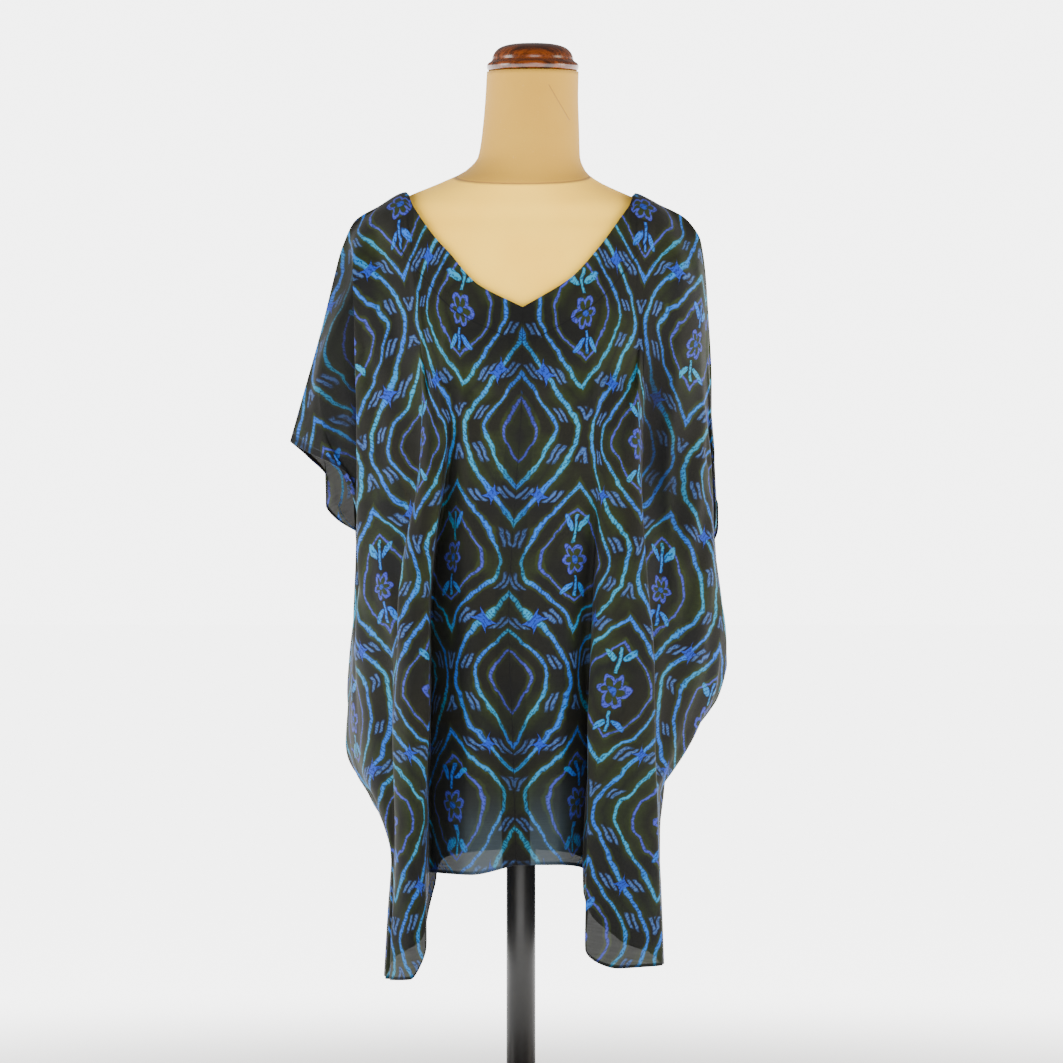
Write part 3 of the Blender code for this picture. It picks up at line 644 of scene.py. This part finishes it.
def meshFromGrids(name, grids, material):
    # One object from several grids, in millimetres: the points, their place on the flat cloth, the distance
    # to the finished edge and, for the panels, the distance to the neckline and the painted shade of the
    # deep folds.
    points, faces, place, edges, tones, start = [], [], [], [], [], 0
    for grid, flat, edge, *tone in grids:
        rows, cols = grid.shape[:2]
        index = start + np.arange(rows * cols).reshape(rows, cols)
        quads = np.stack([index[:-1, :-1], index[1:, :-1], index[1:, 1:], index[:-1, 1:]], axis=2)
        points.append(grid.reshape(-1, 3))
        faces.append(quads.reshape(-1, 4))
        place.append(flat.reshape(-1, 2))
        edges.append(edge.reshape(-1))
        tones.append(tone[0].reshape(-1, 2) if tone else np.tile([farAway, 0.0], (rows * cols, 1)))
        start += rows * cols
    points, faces = np.concatenate(points) / 1000, np.concatenate(faces)
    place, edges = np.concatenate(place) / 1000, np.concatenate(edges) / 1000
    mesh = bpy.data.meshes.new(name)
    mesh.from_pydata(points.tolist(), [], faces.tolist())
    layers = {
        "flat": place,
        "edge": np.stack([edges, place.sum(axis=1)], axis=1),
        "tone": np.concatenate(tones) / 1000,
    }
    for layer, values in layers.items():
        corners = values[faces.reshape(-1)].astype(np.float32)
        mesh.uv_layers.new(name=layer).data.foreach_set("uv", corners.reshape(-1))
    mesh.polygons.foreach_set("use_smooth", [True] * len(faces))
    mesh.update()
    mesh.materials.append(material)
    thing = bpy.data.objects.new(name, mesh)
    bpy.context.scene.collection.objects.link(thing)
    return thing


def srgb(red, green, blue):
    values = [c / 255 for c in (red, green, blue)]
    return tuple(c / 12.92 if c <= 0.04045 else ((c + 0.055) / 1.055) ** 2.4 for c in values) + (1.0,)


class Value:
    # A number that a node gives. The usual signs join it to other numbers by Math nodes.
    def __init__(self, nodes, socket):
        self.nodes, self.socket = nodes, socket

    def __add__(self, other):
        return self.nodes.do("ADD", self, other)

    def __sub__(self, other):
        return self.nodes.do("SUBTRACT", self, other)

    def __rsub__(self, other):
        return self.nodes.do("SUBTRACT", other, self)

    def __mul__(self, other):
        return self.nodes.do("MULTIPLY", self, other)

    def __truediv__(self, other):
        return self.nodes.do("DIVIDE", self, other)

    def __rtruediv__(self, other):
        return self.nodes.do("DIVIDE", other, self)

    def __gt__(self, other):
        return self.nodes.do("GREATER_THAN", self, other)

    def __lt__(self, other):
        return self.nodes.do("LESS_THAN", self, other)

    def __abs__(self):
        return self.nodes.do("ABSOLUTE", self)


class Nodes:
    # Short ways to add and join the nodes of one material or of the world.
    def __init__(self, owner):
        owner.use_nodes = True
        self.owner, self.tree = owner, owner.node_tree
        self.shader = self.tree.nodes.get("Principled BSDF") or self.tree.nodes["Background"]

    def put(self, socket, value):
        if isinstance(value, Value):
            value = value.socket
        if hasattr(value, "is_output"):
            self.tree.links.new(value, socket)
        else:
            socket.default_value = value

    def finish(self, inputs):
        for key, value in inputs.items():
            self.put(self.shader.inputs[key], value)
        return self.owner

    def add(self, kind, inputs=None, **settings):
        node = self.tree.nodes.new(kind)
        for key, value in settings.items():
            setattr(node, key, value)
        for key, value in (inputs or {}).items():
            self.put(node.inputs[key], value)
        return node

    def do(self, operation, *values):
        node = self.add("ShaderNodeMath", dict(enumerate(values)), operation=operation)
        return Value(self, node.outputs[0])

    def least(self, first, *others):
        for other in others:
            first = self.do("MINIMUM", first, other)
        return first

    def most(self, first, *others):
        for other in others:
            first = self.do("MAXIMUM", first, other)
        return first

    def blend(self, share, first, second, kind="MIX"):
        inputs = {"Factor": share, 6: first, 7: second}
        return self.add("ShaderNodeMix", inputs, data_type="RGBA", blend_type=kind).outputs[2]

    def scaled(self, value, low, high, first, last, kind="SMOOTHSTEP"):
        inputs = {"Value": value, "From Min": low, "From Max": high, "To Min": first, "To Max": last}
        return Value(self, self.add("ShaderNodeMapRange", inputs, interpolation_type=kind).outputs[0])

    def rise(self, value, low, high):
        return self.scaled(value, low, high, 0.0, 1.0)

    def fall(self, value, low, high):
        return self.scaled(value, low, high, 1.0, 0.0)

    def noise(self, vector, scale, detail=2.0, roughness=0.5):
        inputs = {"Vector": vector, "Scale": scale, "Detail": detail, "Roughness": roughness}
        return Value(self, self.add("ShaderNodeTexNoise", inputs).outputs["Fac"])

    def join(self, x, y, z=0.0):
        return self.add("ShaderNodeCombineXYZ", {"X": x, "Y": y, "Z": z}).outputs[0]

    def split(self, vector):
        parts = self.add("ShaderNodeSeparateXYZ", {"Vector": vector})
        return [Value(self, part) for part in parts.outputs]

    def layer(self, name):
        # One of the mesh's UV layers, whole and as its two numbers.
        uv = self.add("ShaderNodeUVMap", uv_map=name).outputs[0]
        return [uv] + self.split(uv)[:2]

    def position(self):
        return self.add("ShaderNodeTexCoord").outputs["Object"]

    def bump(self, height, distance, strength=1.0):
        inputs = {"Height": height, "Distance": distance, "Strength": strength}
        return self.add("ShaderNodeBump", inputs).outputs[0]


# What a user would change on the printed voile. Lengths are in metres.
voileLook = {
    "ground": srgb(17, 17, 11),
    "groundCool": srgb(11, 12, 12),
    "olive": srgb(44, 57, 16),
    "cyan": srgb(22, 120, 154),
    "sky": srgb(16, 86, 178),
    "violet": srgb(50, 58, 154),
    "royal": srgb(22, 54, 150),
    "dash": srgb(50, 78, 126),
    "inkDark": srgb(14, 26, 62),
    "hem": srgb(10, 10, 12),
    "thread": srgb(40, 44, 52),
    # Dark of the allowance band and the seam lines, and also the painted shade in the deep folds.
    "fold": srgb(6, 6, 7),
    # Pale blue painted light, where light from behind would shine through above the hem.
    "paintedBacklight": srgb(84, 106, 122),
    "repeatAcross": 0.19,
    "repeatDown": 0.27,
    "shiftAcross": 0.02,
    "swing": 0.41,  # how far the net's lines swing, as a share of half a repeat
    "lineHalf": 0.0019,
    "secondAway": 0.0255,
    "thirdAway": 0.046,
    "dashAway": 0.0128,
    "dashApart": 0.0031,
    "dashEvery": 0.045,
    "petal": 0.0075,
    "leafAt": (0.0105, 0.036),
    "leafSize": (0.0125, 0.0048),
    "leafTilt": 0.9,  # radians
    "stem": (0.018, 0.046),
    "wobble": 0.009,
    "allowance": 0.0162,
    "facingEdge": 0.0385,  # from the neckline
    "groundCover": 0.985,  # how much of what is behind the plain ground hides
    "lineCover": 0.993,
}


def voileMaterial():
    n, look = Nodes(bpy.data.materials.new("printed voile")), voileLook
    uv, across, down = n.layer("flat")
    slow, slow2 = [n.noise(n.join(across, down, seed), 16.0, 1.0) for seed in (0.3, 4.7)]
    quick, quick2 = [n.noise(n.join(across, down, seed), 60.0) for seed in (9.1, 12.9)]
    wobble = look["wobble"]
    x = abs(across) + ((slow - 0.5) * (wobble * 3) + (quick - 0.5) * wobble)
    y = down + ((slow2 - 0.5) * (wobble * 3) + (quick2 - 0.5) * wobble)
    half, tall = look["repeatAcross"] / 2, look["repeatDown"]
    # An ogee net: the fold across runs from 0 on a cell's middle line to 1 on its neighbour's.
    foldX = n.do("PINGPONG", x + look["shiftAcross"], half) * (1 / half)
    turn = y * (2 * math.pi / tall)
    border = n.do("COSINE", turn) * look["swing"] + 0.5
    steep = n.do("SINE", turn) * (look["swing"] * 2 * math.pi / tall * half)
    away = (foldX - border) * (half / n.do("SQRT", steep * steep + 1.0))
    far = abs(away)

    def line(distance, width):
        return n.fall(distance, width - 0.0008, width + 0.0012)

    lineHalf = look["lineHalf"]
    main = line(far, lineHalf)
    offSecond = abs(far - look["secondAway"])
    second = line(offSecond, lineHalf * 0.85)
    offThird = abs(far - look["thirdAway"])
    third = line(offThird, lineHalf * 0.55)
    offDash = abs(abs(far - look["dashAway"]) - look["dashApart"])
    dashRow = abs(n.do("FRACT", y * (1 / look["dashEvery"])) - 0.5)
    dash = line(offDash, 0.0014) * n.fall(dashRow, 0.13, 0.2)
    # Flowers and leaves in the middle of every cell, in the cell's own axes.
    nextCell = away > 0.0
    cellX = abs(foldX - nextCell) * half
    cellY = n.do("PINGPONG", y + nextCell * (tall / 2), tall / 2)
    radius = n.do("SQRT", cellX * cellX + cellY * cellY)
    angle = n.do("ARCTAN2", cellY, cellX)
    petal = abs(n.do("COSINE", angle * 3.0)) * look["petal"] + look["petal"]
    flower = line(abs(radius - petal), 0.0020)
    heart = line(radius, 0.0034)
    leafX, leafY = cellX - look["leafAt"][0], cellY - look["leafAt"][1]
    tiltA, tiltB = math.cos(look["leafTilt"]), math.sin(look["leafTilt"])
    alongLeaf = (leafX * tiltA + leafY * tiltB) / look["leafSize"][0]
    offLeaf = (leafY * tiltA - leafX * tiltB) / look["leafSize"][1]
    leafSize = n.do("SQRT", n.do("POWER", alongLeaf, 2.0) + n.do("POWER", offLeaf, 2.0))
    leaf = n.fall(leafSize, 0.62, 0.9)
    stem = line(cellX, 0.0014) * ((cellY > look["stem"][0]) * (cellY < look["stem"][1]))
    # Small stars on the net's lines.
    starX = abs(foldX - 0.5) * half
    starY = abs(n.do("PINGPONG", y, tall / 2) - tall / 4)
    star = n.fall(n.do("SQRT", starX) + n.do("SQRT", starY), 0.118, 0.128)

    grain = n.add("ShaderNodeTexVoronoi", {"Vector": uv, "Scale": 520.0}, feature="F1").outputs["Distance"]
    patchy = n.noise(n.join(across, down, 21.0), 240.0, 3.0, 0.6)
    stipple = n.fall(grain, 0.15, 0.75) * 0.6 + patchy * 0.75
    tone = n.noise(n.join(across, down, 33.0), 11.0, 1.0)
    # Ground with an olive halo round the lines.
    rosette = n.most(radius - 0.012, 0.0) + 0.002
    nearest = n.least(far, offSecond, offThird, rosette)
    thinHalo = n.fall(nearest, 0.0032, 0.0062) * 0.6
    wideHalo = n.fall(nearest, 0.004, 0.017) * n.rise(slow, 0.45, 0.62)
    halo = n.most(thinHalo, wideHalo * 0.35) * (patchy * 0.9 + 0.3)
    ground = n.blend(n.rise(tone, 0.35, 0.7), look["ground"], look["groundCool"])
    colour = n.blend(halo, ground, look["olive"])
    mainTone = n.blend(n.rise(tone, 0.42, 0.6), look["cyan"], look["sky"])
    secondTone = n.blend(n.rise(slow, 0.4, 0.62), look["sky"], look["cyan"])
    # Fine hatching breaks up the inks.
    waves = {"Vector": n.join(x + patchy * 0.004, y), "Scale": 110.0, "Distortion": 5.0}
    waves.update({"Detail": 2.0, "Detail Scale": 2.0})
    hatch = Value(n, n.add("ShaderNodeTexWave", waves, bands_direction="DIAGONAL").outputs["Fac"])
    fleck = n.rise(hatch * 0.55 + stipple * 0.6, 0.36, 0.6)
    for mask, wanted in (
        (dash, look["dash"]),
        (second, secondTone),
        (third, look["violet"]),
        (main, mainTone),
        (n.most(leaf, stem), secondTone),
        (flower, look["violet"]),
        (heart, look["royal"]),
        (star, look["royal"]),
    ):
        colour = n.blend(mask, colour, n.blend(fleck, n.blend(0.75, wanted, look["inkDark"]), wanted))
    inks = n.most(main, second, third, dash, leaf, stem, flower, heart, star)
    # Slubs run across the cloth, and the weave is a fine bump.
    slub = n.noise(n.join(across * 26.0, down * 760.0, 2.0), 1.0, 3.0, 0.65)
    warp = n.noise(n.join(across * 900.0, down * 40.0, 7.0), 1.0, 2.0, 0.6)
    shade = slub * 0.5 + 0.76
    toEdge, along = n.layer("edge")[1:]
    toSeam = abs(across)
    hem = n.fall(toEdge, 0.0016, 0.0036)
    stitch = (abs(toEdge - 0.0031) < 0.00028) * (n.do("FRACT", along * 420.0) < 0.62)
    colour = n.blend(hem * 0.8, colour, look["hem"])
    colour = n.blend(stitch * 0.8, colour, look["thread"])
    # Painted light: a pale blue tint on the single layer above the hem, where nothing dark is near it,
    # stands in for light from behind shining through.
    paintedBacklight = n.fall(toEdge, 0.012, 0.105) * n.fall(toSeam + patchy * 0.004, 0.035, 0.105)
    paintedBacklight = paintedBacklight * (n.rise(tone, 0.3, 0.66) * 0.7 + 0.3)
    inBand = n.fall(toSeam, look["allowance"] - 0.001, look["allowance"] + 0.001)
    colour = n.blend(paintedBacklight * (1.0 - inBand) * 0.6, colour, look["paintedBacklight"])
    # The allowances show as a darker band, the seam and the facing's edge as thin dark lines, and painted
    # shade darkens the deep folds.
    toNeck, paintedFoldShade = n.layer("tone")[1:]
    thin = n.fall(n.least(toSeam, abs(toNeck - look["facingEdge"])), 0.0003, 0.0011) * 0.85
    colour = n.blend(n.most(inBand * 0.45, thin, paintedFoldShade), colour, look["fold"])
    grey = n.add("ShaderNodeCombineColor", {"Red": shade, "Green": shade, "Blue": shade}).outputs[0]
    cover = inks * (look["lineCover"] - look["groundCover"]) + look["groundCover"]
    cover = cover + (slub - 0.5) * 0.03 + hem * 0.03
    return n.finish({
        "Base Color": n.blend(1.0, colour, grey, "MULTIPLY"),
        "Alpha": n.least(cover, 1.0),
        "Roughness": 0.72,
        "Specular IOR Level": 0.12,
        "Sheen Weight": 0.04,
        "Sheen Roughness": 0.45,
        "Normal": n.bump(slub + warp * 0.6, 0.00022, 0.8),
    })


def dressed(piece, node):
    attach(piece, "root")
    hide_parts(node)
    return piece


def plainEdge(grid, distance=farAway):
    # The same distance to the finished edge on a whole grid.
    return np.full(grid.shape[:2], distance)


def allowanceStrip(grid, flat, normal):
    # The allowance behind the centre seam, folded back under the panel.
    wide = clothShape["allowance"]
    shares = np.linspace(0, 1, 6)
    at = np.maximum.accumulate(flat[len(grid) // 2, :, 0])
    strip = np.empty((len(grid), len(shares) + 1, 3))
    strip[:, 0] = grid[:, 0]
    for k, share in enumerate(shares):
        col = np.interp(share * wide, at, np.arange(len(at)))
        low = min(int(col), len(at) - 2)
        part = col - low
        point = grid[:, low] * (1 - part) + grid[:, low + 1] * part
        strip[:, k + 1] = point - normal[:, low] * (0.9 - 0.3 * share)
    across = np.broadcast_to(-np.concatenate([[0], shares * wide]), strip.shape[:2])
    down = np.repeat(flat[:, :1, 1], strip.shape[1], axis=1)
    return strip, np.stack([across, down], axis=2), plainEdge(strip)


def rolledHem(edge, flat, inside, normal):
    roll, place = rollStrip(edge, flat, unit(edge - inside), -normal)
    return roll, place, plainEdge(roll, 0.0)


def buildCloth():
    tables = {
        "front_left": (frontLeft, shoulderLeft, seamLeft),
        "front_right": (frontRight, shoulderRight, seamRight),
        "back_left": (backLeft, shoulderLeft, seamLeft),
        "back_right": (backRight, shoulderRight, seamRight),
    }
    material = voileMaterial()
    panels, pieces = {}, {}
    for name, (folds, shoulder, seam) in tables.items():
        panel = panels[name] = panelGrid(name, folds, shoulder, seam)
        grid = panel["grid"] = creased(name, panel)
        normal = panel["normal"] = facingOut(grid, panel["side"])
        flat = panel["flat"]
        free = panel["shares"] <= clothShape["underarm"]
        grids = [
            (grid, flat, panel["edge"], panel["tone"]),
            allowanceStrip(grid, flat, normal),
            rolledHem(grid[-1], flat[-1], grid[-3], normal[-1]),
            rolledHem(grid[free, -1], flat[free, -1], grid[free, -3], normal[free, -2]),
        ]
        piece = meshFromGrids(name.title().replace("_", "") + "Cloth", grids, material)
        pieces[name] = dressed(piece, name)
        down, out = np.diff(grid, axis=0)[:, :-1], np.diff(grid, axis=1)[:-1]
        area = np.linalg.norm(np.cross(down, out), axis=2).sum() / 1e6
        wide, long = np.ptp(flat[..., 0]), np.ptp(flat[..., 1])
        print("sheet", name, "wide", round(wide), "long", round(long), "area", round(area, 4))
    return panels, pieces, material


def buildFacing(panels, material):
    # The facing follows the front panels' own points, inside them.
    grids = []
    for name in ("front_left", "front_right"):
        panel = panels[name]
        rows = (panel["shares"] > 0.0005) & (panel["run"][:, 0] < clothShape["facingDeep"] + 2)
        end = panel["neckPoint"] - 1
        band = panel["grid"][rows, :end] - panel["normal"][rows, :end] * 1.7
        flat = panel["flat"][rows, :end] + np.array([300.0, 40.0])
        grids.append((band, flat, plainEdge(band)))
    return dressed(meshFromGrids("NeckFacingCloth", grids, material), "neck_facing")


# What a user would change on the form.
formLook = {
    "calico": srgb(255, 204, 64),
    "calicoDull": srgb(250, 196, 56),
    # Painted shade: the neck is painted darker than the body.
    "neck": srgb(112, 74, 26),
    "fleck": srgb(196, 162, 112),
    "seam": srgb(120, 84, 46),
    "rings": 150,
    "around": 180,
}


def calicoMaterial():
    n, look = Nodes(bpy.data.materials.new("calico")), formLook
    position = n.position()
    x, y, z = n.split(position)
    weft = n.noise(n.join(x * 240.0, y * 240.0, z * 1500.0), 1.0)
    thread = n.noise(n.join(x * 1500.0, y * 1500.0, z * 200.0), 1.0)
    soft = n.noise(position, 14.0, 3.0)
    fleck = n.noise(position, 900.0, 1.0)
    aboveSeam = z - (y * 0.22 + 1.0083)
    onNeck = aboveSeam > 0.0
    colour = n.blend(n.rise(soft, 0.3, 0.75), look["calico"], look["calicoDull"])
    # Painted shade darkens the neck above its seam.
    colour = n.blend(onNeck * 0.7, colour, look["neck"])
    colour = n.blend(n.rise(fleck, 0.74, 0.82), colour, look["fleck"])
    # The seam round the foot of the neck, one down each side and the back, and a dart on the neck.
    sideSeam = abs(y - 0.004) + (z < 0.93)
    backSeam = abs(x - onNeck * 0.013) + (y < 0.0)
    dart = abs((x - 0.013) - ((1.103 - z) * 0.6 + 0.018))
    dart = dart + (z < 1.066) + (z > 1.104) + (y > 0.0) + 0.0003
    nearest = n.least(abs(aboveSeam), sideSeam, backSeam, dart)
    colour = n.blend(n.fall(nearest, 0.0003, 0.0013) * 0.75, colour, look["seam"])
    height = (weft + thread) * 0.25 + n.rise(nearest, 0.0, 0.0022) * 1.2
    return n.finish({
        "Base Color": colour,
        "Roughness": 0.88,
        "Sheen Weight": 0.12,
        "Specular IOR Level": 0.2,
        "Normal": n.bump(height, 0.0006, 0.7),
    })


def buildForm():
    low, high = formSections[0][0] + 2, formSections[-1][0]
    heights = np.concatenate([[low, low + 1.5, low + 4], np.linspace(low + 8, high, formLook["rings"])])
    trims = {0: 4.0, 1: 1.8, 2: 0.4}  # how far the lowest rings are drawn in, in millimetres
    angle = np.linspace(0, 2 * math.pi, formLook["around"] + 1)
    cos, sin = np.cos(angle), np.sin(angle)
    rows = []
    for k, height in enumerate(heights):
        middle, half, front, back, square = formAt(height)
        trim = trims.get(k, 0)
        x = middle + (half - trim) * np.sign(cos) * np.abs(cos) ** (2 / square)
        y = (np.where(sin < 0, front, back) - trim) * np.sign(sin) * np.abs(sin) ** (2 / square)
        rows.append(np.stack([x, y, np.full(len(x), height)], axis=1))
    for share in (0.6, 0.2, 0.001):
        rows.insert(0, rows[0] * np.array([share, share, 1]))
    rows.append(rows[-1] * np.array([0.9, 0.9, 1]) + np.array([1.3, 0, 0]))
    rows.append(rows[-1] * np.array([0.01, 0.01, 1]) + np.array([12.8, -5, 0]))
    grid = np.array(rows)[:, ::-1]
    piece = meshFromGrids("FormCover", [(grid, grid[..., :2], plainEdge(grid, 0.0))], calicoMaterial())
    return dressed(piece, "form_torso")


# What a user would change on the turned wood.
woodLook = {"dark": srgb(42, 14, 0), "light": srgb(104, 46, 0), "pores": srgb(48, 20, 8), "around": 144}


def woodMaterial():
    n, look = Nodes(bpy.data.materials.new("varnished wood")), woodLook
    position = n.position()
    x, y, z = n.split(position)
    bent = n.noise(position, 9.0, 3.0)
    grain = n.noise(n.join(x * 18.0, (y + bent * 0.02) * 260.0, z * 120.0), 1.0, 4.0, 0.6)
    pores = n.noise(n.join(x * 60.0, y * 1400.0, z * 900.0), 1.0)
    colour = n.blend(n.rise(grain, 0.32, 0.7), look["dark"], look["light"])
    return n.finish({
        "Base Color": n.blend(n.rise(pores, 0.62, 0.72) * 0.5, colour, look["pores"]),
        "Roughness": grain * 0.14 + 0.2,
        "Normal": n.bump(grain, 0.00012, 0.5),
        "Coat Weight": 0.25,
        "Coat Roughness": 0.12,
    })


# What a user would change on the pole.
poleLook = {"paint": srgb(24, 23, 22), "worn": srgb(38, 36, 33), "around": 96}


def poleMaterial():
    n, look = Nodes(bpy.data.materials.new("black satin paint")), poleLook
    position = n.position()
    speck = n.noise(position, 700.0)
    worn = n.noise(position, 22.0, 3.0)
    return n.finish({
        "Base Color": n.blend(n.rise(worn, 0.5, 0.8), look["paint"], look["worn"]),
        "Roughness": worn * 0.2 + 0.3,
        "Normal": n.bump(speck, 0.0001, 0.4),
    })


def roundedProfile(profile, steps=6):
    points = np.array(profile, float)
    run = np.concatenate([[0], np.cumsum(np.hypot(*np.diff(points, axis=0).T))])
    at = np.unique(np.concatenate([np.linspace(a, b, steps + 1) for a, b in zip(run[:-1], run[1:])]))
    return np.stack([cubic(run, points[:, 0], at), cubic(run, points[:, 1], at)], axis=1)


def turnedPiece(name, profile, centre, material, around):
    angle = np.linspace(0, 2 * math.pi, around + 1)
    radius, height = profile[:, :1], profile[:, 1:]
    grid = np.stack([
        centre[0] + radius * np.cos(angle),
        centre[1] + radius * np.sin(angle),
        np.repeat(height, around + 1, axis=1),
    ], axis=2)
    return meshFromGrids(name, [(grid, grid[..., :2], plainEdge(grid, 0.0))], material)


def buildStand():
    wood, paint = woodMaterial(), poleMaterial()
    foot, top = 22.3, 404.7
    poleEnd = [(0, 0), (15, 0), (15.7, 0.3), (16, 1)]  # radius and distance from the pole's end
    pole = [(radius, top - away) for radius, away in poleEnd]
    pole += [(radius, foot + away) for radius, away in reversed(poleEnd)]
    around = woodLook["around"]
    for name, profile, centre, material, steps, slot, node in (
        ("NeckCapTurned", roundedProfile(capProfile), (13, -5.5), wood, around, "wood", "neck_cap"),
        ("StandBaseTurned", roundedProfile(baseProfile), (0, 0), wood, around, "wood", "stand_base"),
        ("StandPoleTube", np.array(pole), (0, 0), paint, poleLook["around"], "pole", "stand_pole"),
    ):
        dressed(turnedPiece(name, profile, centre, material, steps), node)


# What a user would change on the studio.
studio = {
    "cameraDistance": 8.0,
    "viewWide": 1.1693,
    "aimX": 0.0116,
    "aimZ": 0.6155,
    "floor": srgb(246, 246, 246),
    "floorGlow": 4.85,
    "horizon": 5.4,
    "overhead": 0.3,
    "fromCamera": 0.45,
}
# name: place, aim, size, power in watts, colour
studioLamps = {
    "LeftWindow": ((-2.7, -0.7, 1.5), (0, 0, 0.75), (1.2, 1.8), 72, (1, 0.98, 0.94)),
    "RightWindow": ((2.7, -0.6, 1.4), (0, 0, 0.75), (1.1, 1.6), 48, (1, 0.89, 0.72)),
    "FrontFill": ((0.3, -3.0, 1.9), (0, 0, 0.8), (1.4, 1.4), 34, (1, 1, 1)),
}


def areaLight(name, place, aim, size, power, colour):
    data = bpy.data.lights.new(name, "AREA")
    data.shape = "RECTANGLE"
    data.size, data.size_y = size
    data.energy = power
    data.color = colour
    lamp = bpy.data.objects.new(name, data)
    lamp.location = place
    x, y, z = np.array(aim) - np.array(place)
    lamp.rotation_euler = (math.pi / 2 + math.atan2(z, math.hypot(x, y)), 0, math.atan2(-x, y))
    bpy.context.scene.collection.objects.link(lamp)


def buildFloor():
    n = Nodes(bpy.data.materials.new("pale floor"))
    reach = n.add("ShaderNodeVectorMath", {0: n.position()}, operation="LENGTH").outputs["Value"]
    material = n.finish({
        "Base Color": studio["floor"],
        "Roughness": 0.9,
        "Emission Color": (1, 1, 1, 1),
        "Emission Strength": (n.rise(reach, 0.2, 1.8) * 0.8 + 0.2) * studio["floorGlow"],
    })
    mesh = bpy.data.meshes.new("Floor")
    mesh.from_pydata([(-40, -40, 0), (40, -40, 0), (40, 40, 0), (-40, 40, 0)], [], [(0, 1, 2, 3)])
    mesh.materials.append(material)
    floor = bpy.data.objects.new("Floor", mesh)
    bpy.context.scene.collection.objects.link(floor)


def buildStudio():
    buildFloor()
    # A bright band round the horizon. Less comes from behind the camera, so that the sides are lit more.
    n = Nodes(bpy.data.worlds.new("Studio"))
    x, y, z = n.split(n.add("ShaderNodeTexCoord").outputs["Generated"])
    band = n.scaled(abs(z), 0.085, 0.16, studio["horizon"], studio["overhead"])
    ahead = n.scaled(y, -0.75, 0.1, studio["fromCamera"], 1.0, "LINEAR")
    bpy.context.scene.world = n.finish({"Strength": band * ahead, "Color": (1, 1, 1, 1)})
    for name, settings in studioLamps.items():
        areaLight(name, *settings)
    camera = bpy.data.cameras.new("PhotoCamera")
    camera.sensor_width = 36
    camera.lens = 36 * studio["cameraDistance"] / studio["viewWide"]
    eye = bpy.data.objects.new("PhotoCamera", camera)
    eye.location = (studio["aimX"], -studio["cameraDistance"], studio["aimZ"])
    eye.rotation_euler = (math.pi / 2, 0, 0)
    bpy.context.scene.collection.objects.link(eye)
    bpy.context.scene.camera = eye


buildStudio()
print("stage: studio ready")
buildForm()
buildStand()
print("stage: form and stand ready")
panels, clothPieces, voile = buildCloth()
facing = buildFacing(panels, voile)
print("stage: cloth ready")
